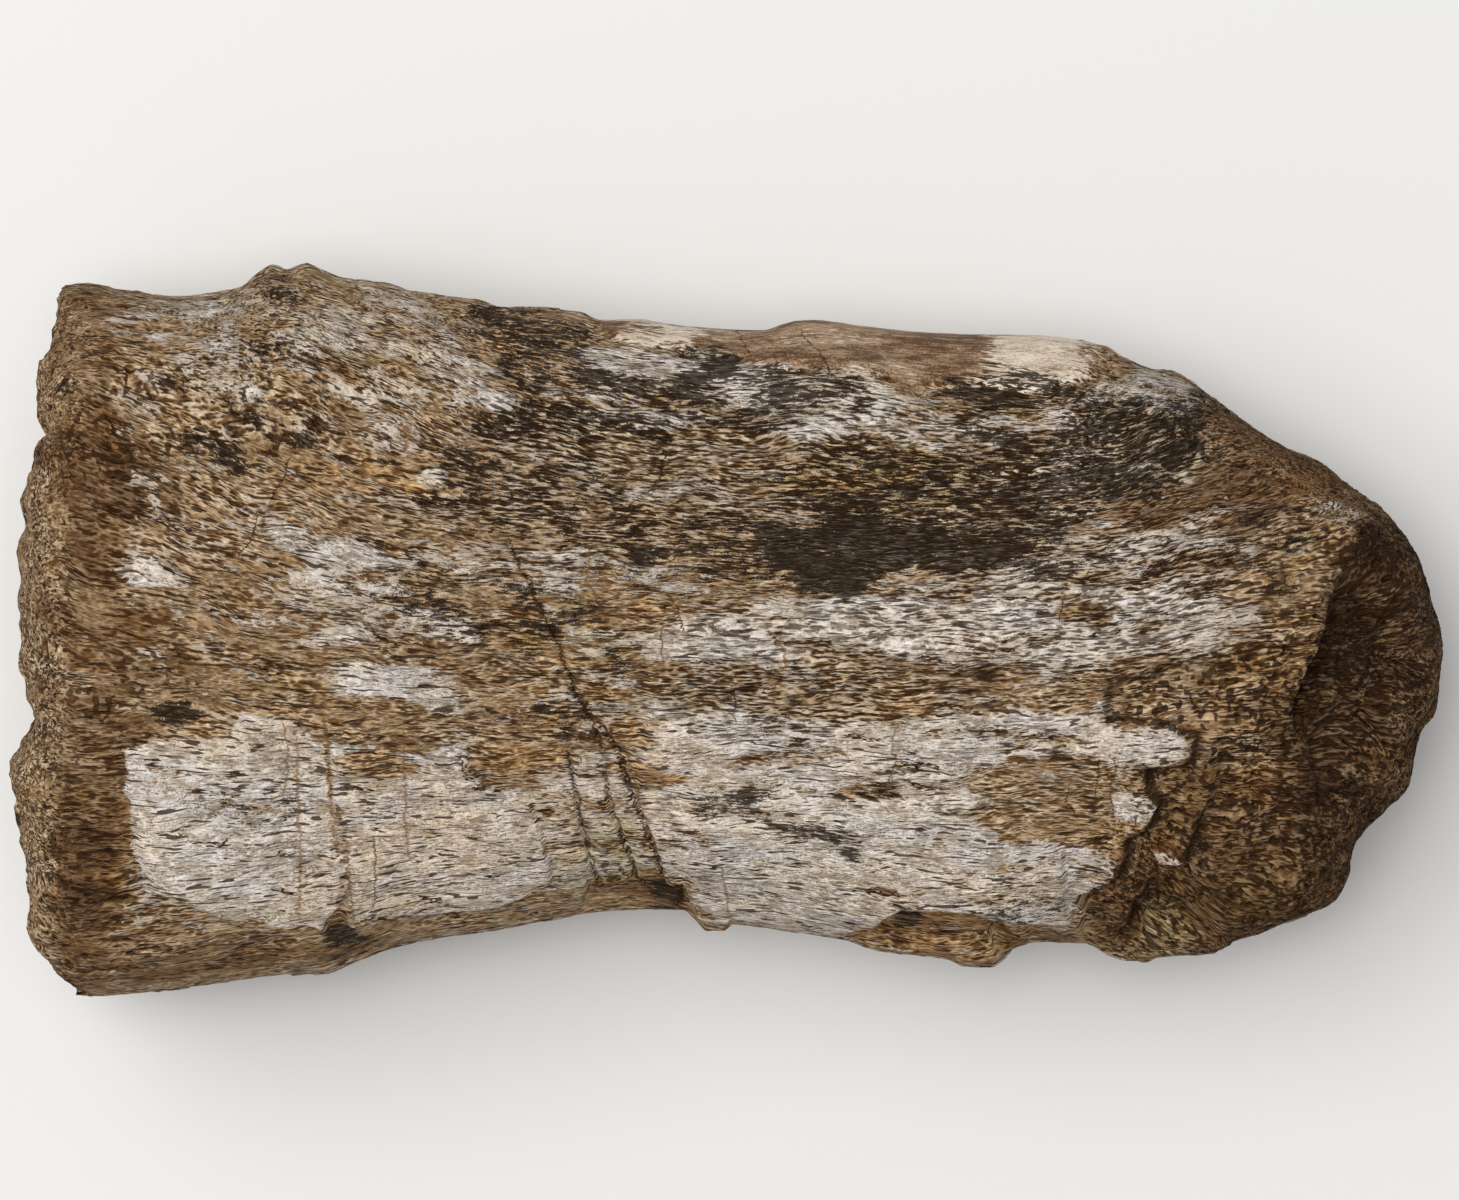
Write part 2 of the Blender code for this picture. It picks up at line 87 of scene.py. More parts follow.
topEdge = [
    (66, 287), (89, 283), (122, 289), (184, 297), (214, 294), (240, 287), (258, 273), (272, 266),
    (288, 271), (306, 265), (340, 279), (392, 286), (412, 293), (476, 301), (501, 308), (550, 308),
    (580, 313), (602, 326), (626, 324), (690, 332), (764, 336), (788, 329), (809, 326), (867, 332),
    (928, 338), (1041, 341), (1105, 348), (1121, 358), (1152, 371), (1169, 372), (1211, 398), (1252, 427),
    (1289, 450), (1321, 463), (1344, 482), (1380, 508), (1404, 536), (1420, 562), (1430, 598), (1439, 627),
    (1443, 648),
]
bottomEdge = [
    (66, 995), (92, 995), (129, 993), (159, 990), (214, 982), (275, 974), (324, 972), (346, 964),
    (392, 947), (435, 938), (482, 931), (544, 921), (592, 912), (640, 910), (684, 910), (697, 921),
    (707, 931), (724, 931), (733, 924), (758, 927), (821, 936), (852, 941), (876, 950), (946, 958),
    (965, 965), (989, 966), (1002, 958), (1014, 946), (1038, 941), (1083, 942), (1112, 954), (1147, 962),
    (1157, 957), (1211, 953), (1232, 942), (1267, 930), (1321, 908), (1337, 898), (1345, 874), (1350, 850),
    (1363, 831), (1385, 810), (1406, 786), (1411, 760), (1419, 735), (1434, 708), (1440, 668), (1443, 648),
]
leftEdge = [
    (66, 284), (58, 301), (52, 326), (46, 347), (36, 366), (34, 384), (34, 405), (38, 420), (48, 430),
    (38, 445), (35, 466), (25, 482), (22, 506), (24, 522), (20, 540), (17, 570), (19, 640), (23, 669),
    (29, 677), (31, 716), (20, 738), (14, 768), (13, 808), (20, 851), (29, 891), (32, 930), (38, 943),
    (49, 964), (70, 986), (92, 995),
]

# Heights along the bone, as (column, share of the thickness)
crest = [
    (66, 0.850), (72, 0.915), (84, 0.958), (105, 0.988), (150, 1.000), (200, 0.990), (280, 0.958),
    (420, 0.906), (600, 0.862), (760, 0.850), (920, 0.868), (1060, 0.900), (1160, 0.920), (1240, 0.920),
    (1300, 0.900), (1350, 0.856), (1390, 0.790), (1415, 0.722), (1433, 0.632), (1440, 0.560), (1443, 0.460),
]
widest = [(66, 0.481), (400, 0.475), (900, 0.468), (1443, 0.460)]
underside = [
    (66, 0.125), (72, 0.062), (84, 0.022), (105, -0.008), (150, -0.015), (200, 0.005), (280, 0.044),
    (420, 0.094), (600, 0.125), (760, 0.125), (920, 0.100), (1060, 0.044), (1150, -0.002), (1190, -0.015),
    (1230, -0.012), (1290, 0.032), (1345, 0.094), (1390, 0.165), (1415, 0.225), (1433, 0.300),
    (1440, 0.370), (1443, 0.460),
]
squareness = [(66, 2.7), (300, 2.5), (760, 2.35), (1200, 2.3), (1443, 2.1)]

# Breaks, hollows and cracks. Steps and depths are in metres, outlines and widths in pixels
relief = {
    "cortexStep": 0.0023, "lowerStep": 0.0033, "endStep": 0.0036, "slabStep": 0.0009,
    "notchDepth": 0.0020, "lowerBreakDepth": 0.0022, "scarStep": 0.0008,
    "crackDepth": 0.0012, "crackWidth": 1.8,
    "crackBed": 0.12, "crackBedWidth": 7.0,       # a shallow trough beside each crack
    "lump": 0.0007, "spongeLump": 0.0011, "faceLump": 0.0009,
    "raggedReach": 7, "wanderReach": 4, "fade": (16, 80),
    "cortexEdge": (-4, 1), "lowerEdge": (-7, 3), "endEdge": (-14, 4), "notchEdge": (-4, 5),
    "lowerBreakEdge": (-4, 6), "slabEdge": (-3, 3), "scarEdge": (-5, 3), "spongeEdge": (-6, 20),
    "patchEdge": (-0.02, 0.04),
    "lipColumns": (1165, 1240), "rimColumns": (60, 150), "scarColumns": (560, 600, 1040, 1140),
    # these three set the columns and rows over which the painted shade at the foot of the ledges fades in
    "ledgeShadeColumns": (1080, 1110), "ledgeShadeRows": (700, 760), "lowLedgeShadeRows": (780, 860),
    "wearSpared": 0.75, "raggedSize": (0.012, 0.0035, 0.0035), "wanderSize": (0.006, 0.006, 0.006),
    "patchSize": (0.040, 0.016, 0.016), "wearSize": (0.020, 0.007, 0.007),
    "spongeSize": (0.006, 0.006, 0.006),
    "seeds": {"ragged": 11, "wander": 21, "patches": 31, "wear": 41, "sponge": 51, "face": 61},
}
hollowOver = [
    (120, 455, 60, 0.0015), (330, 465, 80, 0.0030), (560, 480, 88, 0.0045), (850, 490, 92, 0.0062),
    (1050, 460, 95, 0.0062), (1220, 440, 70, 0.0030), (1310, 480, 45, 0.0008),
]
hollowRim = [(128, 720, 16, 0.0005), (134, 800, 16, 0.0010), (146, 890, 16, 0.0008)]
hollowUnder = [
    (200, 600, 90, 0.0015), (520, 640, 120, 0.0040), (860, 650, 120, 0.0045), (1150, 640, 80, 0.0015),
]
endGroove = [
    (1362, 545, 14, 0.0006), (1352, 585, 17, 0.0022), (1342, 640, 17, 0.0028), (1326, 690, 15, 0.0022),
    (1312, 730, 14, 0.0008),
]
cortex = [
    (0, 200), (1459, 200), (1459, 560), (1300, 640), (1240, 650), (1205, 655), (1160, 664), (1142, 678),
    (1110, 682), (1104, 700), (1112, 722), (1160, 722), (1196, 742), (1180, 766), (1148, 772), (1146, 796),
    (1158, 806), (1152, 826), (1130, 838), (1118, 868), (1110, 888), (1082, 896), (1078, 932), (1000, 938),
    (990, 1040), (0, 1040),
]
secondLayer = [
    (0, 200), (1459, 200), (1459, 560), (1376, 560), (1330, 640), (1270, 690), (1226, 712), (1214, 750),
    (1206, 800), (1194, 840), (1180, 868), (1152, 896), (1128, 925), (1112, 950), (1080, 1040), (0, 1040),
]
body = [
    (0, 200), (1340, 200), (1372, 470), (1380, 520), (1342, 580), (1330, 630), (1310, 680), (1308, 735),
    (1340, 800), (1356, 900), (1320, 1040), (0, 1040),
]
archScar = [
    (560, 280), (612, 338), (640, 346), (730, 352), (800, 366), (880, 370), (905, 384), (940, 372),
    (1060, 368), (1112, 356), (1150, 372), (1130, 280),
]
archScarUnder = [
    (585, 280), (640, 352), (760, 376), (850, 358), (960, 384), (1060, 372), (1108, 352), (1100, 280),
]
notch = [(588, 884), (686, 880), (700, 940), (640, 1000), (590, 960)]
lowerBreak = [(852, 930), (905, 912), (1000, 924), (1020, 940), (1010, 990), (960, 1010), (860, 990)]
paleSlabs = [
    [(121, 742), (226, 740), (262, 712), (322, 730), (334, 790), (352, 868), (322, 930), (240, 922),
     (150, 896)],
    [(322, 730), (400, 748), (462, 756), (478, 786), (530, 800), (552, 876), (500, 902), (345, 922),
     (346, 860)],
    [(640, 634), (720, 622), (800, 600), (960, 622), (1100, 640), (1140, 672), (960, 690), (780, 672),
     (700, 700), (652, 720)],
    [(650, 720), (730, 712), (900, 720), (985, 716), (965, 790), (1060, 850), (1070, 924), (900, 908),
     (850, 930), (700, 918), (664, 870), (640, 790)],
]
cracks = [
    [(514, 545), (538, 600), (556, 640), (576, 690), (604, 748)],
    [(572, 690), (592, 716), (618, 748), (630, 790), (650, 842), (664, 880), (692, 928)],
    [(568, 758), (578, 800), (588, 850), (600, 890)],
    [(606, 780), (622, 840), (640, 892)],
    [(780, 628), (776, 665), (766, 690), (726, 696)],
]
crackRound = [(692, 928), (700, 840), (690, 700), (640, 560), (600, 420)]

# Lines that the fibres of the bone follow, from left to right
grainLines = [
    [(0, 150), (250, 200), (400, 262), (500, 315), (600, 335), (800, 340), (1000, 345), (1120, 340),
     (1250, 300), (1459, 230)],
    [(0, 205), (150, 252), (300, 300), (400, 345), (500, 385), (600, 405), (700, 412), (900, 415),
     (1050, 412), (1150, 395), (1300, 340), (1459, 280)],
    [(0, 258), (150, 310), (300, 372), (400, 415), (500, 445), (600, 460), (700, 465), (900, 468),
     (1050, 462), (1200, 430), (1300, 400), (1459, 350)],
    [(0, 340), (150, 395), (250, 434), (350, 469), (450, 492), (600, 508), (900, 515), (1050, 510),
     (1200, 488), (1300, 465), (1400, 440), (1459, 425)],
    [(0, 436), (100, 470), (200, 506), (300, 536), (400, 555), (550, 565), (900, 570), (1050, 565),
     (1200, 545), (1300, 522), (1400, 495), (1459, 480)],
    [(0, 532), (100, 555), (200, 581), (300, 601), (400, 613), (600, 620), (900, 622), (1100, 615),
     (1200, 605), (1300, 590), (1400, 575), (1459, 565)],
    [(0, 622), (150, 645), (300, 666), (400, 675), (600, 680), (900, 684), (1100, 676), (1250, 660),
     (1350, 650), (1459, 648)],
    [(0, 720), (150, 724), (300, 735), (450, 742), (700, 745), (1000, 748), (1200, 742), (1459, 738)],
    [(0, 800), (300, 803), (600, 806), (900, 812), (1200, 812), (1459, 810)],
    [(0, 880), (150, 876), (300, 868), (450, 862), (600, 862), (800, 870), (1000, 882), (1200, 886),
     (1459, 880)],
    [(0, 960), (150, 950), (300, 932), (450, 915), (600, 905), (800, 922), (1000, 945), (1200, 950),
     (1459, 940)],
    [(0, 1040), (150, 1030), (300, 1005), (450, 975), (600, 955), (800, 975), (1000, 1005), (1200, 1020),
     (1459, 1010)],
]
waistColumn = 700             # where the widths between the lines are true ones


def curveThrough(points, at):
    # a smooth line through the points that never overshoots them
    x, y = np.array(points, float).T
    step, slope = np.diff(x), np.diff(y) / np.diff(x)
    tangent = np.zeros_like(x)
    turning = slope[:-1] * slope[1:] > 0
    weight1, weight2 = 2 * step[1:] + step[:-1], step[1:] + 2 * step[:-1]
    inner = np.zeros(len(x) - 2)
    inner[turning] = (weight1 + weight2)[turning] / (
        weight1[turning] / slope[:-1][turning] + weight2[turning] / slope[1:][turning]
    )
    tangent[1:-1] = inner
    tangent[0], tangent[-1] = slope[0], slope[-1]
    at = np.clip(at, x[0], x[-1])
    k = np.clip(np.searchsorted(x, at, side="right") - 1, 0, len(x) - 2)
    t = (at - x[k]) / step[k]
    return (
        (1 + 2 * t) * (1 - t) ** 2 * y[k]
        + t * (1 - t) ** 2 * step[k] * tangent[k]
        + t * t * (3 - 2 * t) * y[k + 1]
        + t * t * (t - 1) * step[k] * tangent[k + 1]
    )


def smoothStep(value, low, high):
    # 0 at low and 1 at high, whichever is the larger
    t = np.clip((value - low) / (high - low), 0, 1)
    return t * t * (3 - 2 * t)


def latticeNumber(ix, iy, iz, seed):
    # a fixed number from -1 to 1 for each corner of a cubic lattice
    h = (ix * 73856093) ^ (iy * 19349663) ^ (iz * 83492791) ^ (seed * 40503)
    h = ((h ^ (h >> 13)) * 1274126177) & 0xFFFFFFFF
    h = ((h ^ (h >> 15)) * 2246822519) & 0xFFFFFFFF
    return (h ^ (h >> 16)) / 0x7FFFFFFF - 1


def noiseAt(points, size, seed):
    # smooth noise from -1 to 1, with lumps about size across
    p = points / np.array(size, float)
    cell = np.floor(p).astype(np.int64)
    t = p - cell
    t = t * t * t * (t * (t * 6 - 15) + 10)
    total = 0
    for corner in np.ndindex(2, 2, 2):
        weight = np.prod(np.where(corner, t, 1 - t), axis=1)
        total = total + weight * latticeNumber(*(cell + corner).T, seed)
    return total


def layeredNoise(points, size, octaves, seed):
    size = np.array(size, float)
    total = sum(noiseAt(points, size / 2**k, seed + k) * 0.5**k for k in range(octaves))
    return total / (2 - 0.5 ** (octaves - 1))


def strays(points, size, seed):
    return np.stack([noiseAt(points, size, seed), noiseAt(points, size, seed + 1)], axis=1)


def nearestPit(points, size, seed):
    # distance to the nearest of many scattered centres, 1 being their usual spacing
    p = points / np.array(size, float)
    cell = np.floor(p).astype(np.int64)
    nearest = np.full(len(p), 9.0)
    for offset in np.ndindex(3, 3, 3):
        corner = cell + offset - 1
        stray = np.stack([latticeNumber(*corner.T, seed + k) for k in range(3)], axis=1)
        centre = corner + 0.5 + 0.42 * stray
        nearest = np.minimum(nearest, ((p - centre) ** 2).sum(axis=1))
    return np.sqrt(nearest)


def depthInside(spots, outline):
    # distance in from a closed outline, negative outside it
    nearest = np.full(len(spots), np.inf)
    inside = np.zeros(len(spots), bool)
    for a, b in zip(outline, outline[1:] + outline[:1]):
        a, b = np.array(a, float), np.array(b, float)
        along = np.clip((spots - a) @ (b - a) / ((b - a) @ (b - a)), 0, 1)
        nearest = np.minimum(nearest, np.linalg.norm(spots - a - along[:, None] * (b - a), axis=1))
        if a[1] != b[1]:
            spans = (a[1] > spots[:, 1]) != (b[1] > spots[:, 1])
            inside ^= spans & (spots[:, 0] < a[0] + (spots[:, 1] - a[1]) * (b[0] - a[0]) / (b[1] - a[1]))
    return np.where(inside, nearest, -nearest)


def nearPath(spots, path):
    # distance to an open path, which side of it, and its further values at the nearest place
    path = np.array(path, float)
    nearest = np.full(len(spots), np.inf)
    side = np.ones(len(spots))
    values = np.zeros((len(spots), path.shape[1] - 2))
    for a, b in zip(path, path[1:]):
        run = b[:2] - a[:2]
        away = spots - a[:2]
        along = np.clip(away @ run / (run @ run), 0, 1)[:, None]
        distance = np.linalg.norm(away - along * run, axis=1)
        closer = distance < nearest
        nearest[closer] = distance[closer]
        side[closer] = np.sign(run[0] * away[:, 1] - run[1] * away[:, 0])[closer]
        values[closer] = (a[2:] + along * (b[2:] - a[2:]))[closer]
    return nearest, side, values


def blurred(points, at, reach):
    # the line through the points without its short bumps
    steps = np.linspace(-1.5, 1.5, 13)
    weights = np.exp(-(steps**2))
    return sum(curveThrough(points, at + reach * s) * w for s, w in zip(steps, weights)) / weights.sum()


def hollowAlong(spots, path):
    distance, _, values = nearPath(spots, path)
    return values[:, 1] * np.exp(-((distance / values[:, 0]) ** 2))


def ringAt(column):
    # (row, height, arc) round the bone. arc is 0 to 1 over the top and 1 to 2 underneath
    reach = form["edgeBlur"] * smoothStep(picture["ends"][1] - column, *form["blurColumns"]) + 1e-6
    (top, topBump), (bottom, bottomBump) = [
        (line, float(curveThrough(edge, column)) - line)
        for edge, line in ((edge, float(blurred(edge, column, reach))) for edge in (topEdge, bottomEdge))
    ]
    level = thickness * curveThrough(widest, column)
    power = 2 / curveThrough(squareness, column)
    turn = np.linspace(0, np.pi, 361)
    across = np.sign(np.cos(turn)) * np.abs(np.cos(turn)) ** power
    rise = np.abs(np.sin(turn)) ** power
    row = (top + bottom) / 2 - across * (bottom - top) / 2
    bump = np.where(turn < np.pi / 2, topBump, bottomBump)
    row += bump * np.exp(-((np.sin(turn) / form["bumpReach"]) ** 2))
    halves = []
    for count, end, start in ((form["points"][0], crest, 0), (form["points"][1], underside, 1)):
        height = level + rise * (thickness * curveThrough(end, column) - level)
        line = np.stack([row, height])[:, :: 1 - 2 * start]
        run = np.concatenate([[0], np.cumsum(np.hypot(np.diff(line[0]) * pixel, np.diff(line[1])))])
        share = np.linspace(0, 1, count, endpoint=False)
        place = [np.interp(share * run[-1], run, values) for values in line]
        halves.append(np.stack([*place, start + share], axis=1))
    return np.concatenate(halves)


def bareForm():
    # rings of (column, row, height, arc, unsheared column) for the flat end and the body, and its centre
    length = picture["ends"][1] - form["faceColumn"]
    ringsBody, ringsFace = form["rings"]
    share = np.linspace(0, 1, ringsBody + 1)[:-1]
    bend = np.where(share < 0.5, share**1.12 / 0.5**0.12, 1 - (1 - share) ** 1.35 / 0.5**0.35)
    leftLine = [(row, edge) for edge, row in leftEdge]
    bodyRings = []
    for column in form["faceColumn"] + length * bend:
        ring = ringAt(column)
        broad = blurred(leftLine, ring[:, 0], form["edgeBlur"])
        nicks = (curveThrough(leftLine, ring[:, 0]) - broad) * (ring[:, 2] < 1)
        along = column - form["faceColumn"]
        shear = (broad - form["faceColumn"]) * (1 - smoothStep(along, 0, form["shearReach"]))
        shear += nicks * (1 - smoothStep(along, 0, form["nickReach"]))
        bodyRings.append(np.column_stack([column + shear, ring, np.full(len(ring), column)]))
    rim = bodyRings[0]
    centre = rim[:, :3].mean(axis=0)
    faceRings = []
    for k in range(1, ringsFace):
        share = k / ringsFace
        ring = rim.copy()
        ring[:, :3] = centre + (rim[:, :3] - centre) * share
        lip = rim[:, 0] * share**2 + centre[0] * (1 - share**2)
        ring[:, 0] = lip + form["faceDish"] / pixel * (1 - share**2.5)
        faceRings.append(ring)
    return np.array(faceRings), np.array(bodyRings), centre


def toMetres(column, row, height):
    # the picture shows what is nearer to the camera larger, and this undoes it
    scale = pixel * (1 - np.maximum(height - thickness * picture["widestLevel"], 0) / picture["sightHeight"])
    eye = (np.array(picture["eye"]) - picture["origin"]) * pixel
    x = eye[0] + (column - picture["eye"][0]) * scale
    y = -eye[1] - (row - picture["eye"][1]) * scale
    return np.stack([x, y, height], axis=-1)


def waistRow(column, row):
    # the row at which the fibre through each place crosses the waist
    rows = np.array([curveThrough(line, column) for line in grainLines])
    waistRows = np.array([float(curveThrough(line, waistColumn)) for line in grainLines])
    value = np.where(row < rows[0], waistRows[0] + (row - rows[0]), waistRows[-1] + (row - rows[-1]))
    for k in range(len(grainLines) - 1):
        between = (row >= rows[k]) & (row < rows[k + 1])
        part = (row - rows[k]) / (rows[k + 1] - rows[k])
        value = np.where(between, waistRows[k] + part * (waistRows[k + 1] - waistRows[k]), value)
    return value


def grainSpace(column, row, height, arc, ringColumn):
    # places along the fibres, across them and up from the middle, in millimetres
    level = curveThrough(widest, ringColumn)
    full = np.maximum(ringColumn, form["rimColumn"])
    upper, lower = curveThrough(crest, full) - level, level - curveThrough(underside, full)
    half = np.where(arc < 1, upper, lower)
    share = np.clip((height / thickness - level) / np.maximum(half, 0.01), -1, 1)
    closing = 1 - (1 - np.minimum(1, half / np.where(arc < 1, 0.45, 0.47))) ** 2
    edges = [curveThrough(edge, np.minimum(ringColumn, form["domeColumn"])) for edge in (topEdge, bottomEdge)]
    waistEdges = [curveThrough(edge, waistColumn) for edge in (topEdge, bottomEdge)]
    middle = (curveThrough(topEdge, ringColumn) + curveThrough(bottomEdge, ringColumn)) / 2
    spread = (waistEdges[1] - waistEdges[0]) / (edges[1] - edges[0])
    # the rows of the side that no picture shows
    hidden = (waistEdges[0] + waistEdges[1]) / 2 + (row - middle) * spread
    seen = smoothStep(np.sin(np.pi * arc), 0, 0.35) * (arc < 1)
    value = hidden + (waistRow(column, row) - hidden) * seen
    flatter = 1 + 2 * smoothStep(ringColumn, form["domeColumn"] - 80, form["domeColumn"] + 120)
    up = np.sign(share) * (1 - (1 - np.abs(share)) ** flatter) * (0.5 + 0.5 * closing) * form["grainHeight"]
    return np.stack([column * pixel, value * pixel, up], axis=-1) / millimetre


def mainRelief(spots, arc, tube):
    # what the breaks, hollows, cracks and wear do to the bare form, as in the solid, and where painted shade
    # darkens the foot of the ledges
    r, seeds = relief, relief["seeds"]
    column, row = spots.T
    edge = np.minimum(row - curveThrough(topEdge, column), curveThrough(bottomEdge, column) - row)
    dome = smoothStep(column, form["domeColumn"], form["domeColumn"] + form["domeSpan"])
    inside = smoothStep(edge / (r["fade"][0] + (r["fade"][1] - r["fade"][0]) * dome), 0, 1)
    over, under = inside * (arc < 1), inside * (arc > 1)
    ragged = spots + r["raggedReach"] * strays(tube, r["raggedSize"], seeds["ragged"])
    wander = spots + r["wanderReach"] * strays(tube, r["wanderSize"], seeds["wander"])
    inCortex = depthInside(ragged, cortex)
    drop = r["cortexStep"] * (1 - smoothStep(column, *r["lipColumns"]))
    drop *= 1 - smoothStep(inCortex, *r["cortexEdge"])
    inSecond = depthInside(ragged, secondLayer)
    drop += r["lowerStep"] * (1 - smoothStep(inSecond / (1 + 5 * dome), *r["lowerEdge"]))
    drop += r["endStep"] * (1 - smoothStep(depthInside(ragged, body), *r["endEdge"]))
    # painted shade: a dark band just outside the raised edges of the cortex and the second layer, where the
    # lower surface lies in their shade. It only darkens the colour
    crevice = np.exp(-(((inCortex + 4) / 4.5) ** 2)) * smoothStep(column, *r["ledgeShadeColumns"])
    crevice *= 0.45 + 0.55 * smoothStep(row, *r["ledgeShadeRows"])
    lowLedgeShade = 0.8 * np.exp(-(((inSecond + 7) / 7) ** 2)) * smoothStep(row, *r["lowLedgeShadeRows"])
    crevice = np.maximum(crevice, lowLedgeShade)
    drop += r["notchDepth"] * smoothStep(depthInside(ragged, notch), *r["notchEdge"])
    drop += r["lowerBreakDepth"] * smoothStep(depthInside(ragged, lowerBreak), *r["lowerBreakEdge"])
    slab = np.max([depthInside(ragged, outline) for outline in paleSlabs], axis=0)
    drop -= r["slabStep"] * smoothStep(slab, *r["slabEdge"])
    for path in (hollowOver, hollowRim, endGroove):
        drop += hollowAlong(spots, path)
    crackLine = np.zeros(len(spots))
    for path in cracks:
        away = nearPath(wander, path)[0]
        crackLine = np.maximum(crackLine, np.exp(-((away / r["crackWidth"]) ** 2)))
        crackLine = np.maximum(crackLine, r["crackBed"] * np.exp(-((away / r["crackBedWidth"]) ** 2)))
    dropUnder = hollowAlong(spots, hollowUnder)
    away = nearPath(wander, crackRound)[0]
    dropUnder += r["crackDepth"] * np.exp(-((away / r["crackWidth"]) ** 2))
    scar = np.where(arc < 1, depthInside(ragged, archScar), depthInside(ragged, archScarUnder))
    patches = layeredNoise(tube, r["patchSize"], 3, seeds["patches"])
    dropUnder -= r["slabStep"] * smoothStep(patches, *r["patchEdge"])
    sponge = 1 - smoothStep(column, *r["rimColumns"])
    sponge = sponge + smoothStep(-inCortex, *r["spongeEdge"]) * (arc < 1) + dome * (arc > 1)
    sponge = np.clip(sponge, 0, 1)
    wear = r["lump"] * layeredNoise(tube, r["wearSize"], 3, seeds["wear"])
    wear += r["spongeLump"] * sponge * layeredNoise(tube, r["spongeSize"], 2, seeds["sponge"])
    nearTip = smoothStep(picture["ends"][1] - column, 0, 40)
    wear *= 1 - r["wearSpared"] * (1 - smoothStep(np.abs(np.sin(np.pi * arc)), 0, 0.4) * nearTip)
    ends = smoothStep(column, *r["scarColumns"][:2]) * (1 - smoothStep(column, *r["scarColumns"][2:]))
    inScar = ends * smoothStep(scar, *r["scarEdge"])
    raised = wear + r["scarStep"] * inScar - over * (drop + r["crackDepth"] * crackLine) - under * dropUnder
    return raised, sponge, inScar, over * crevice


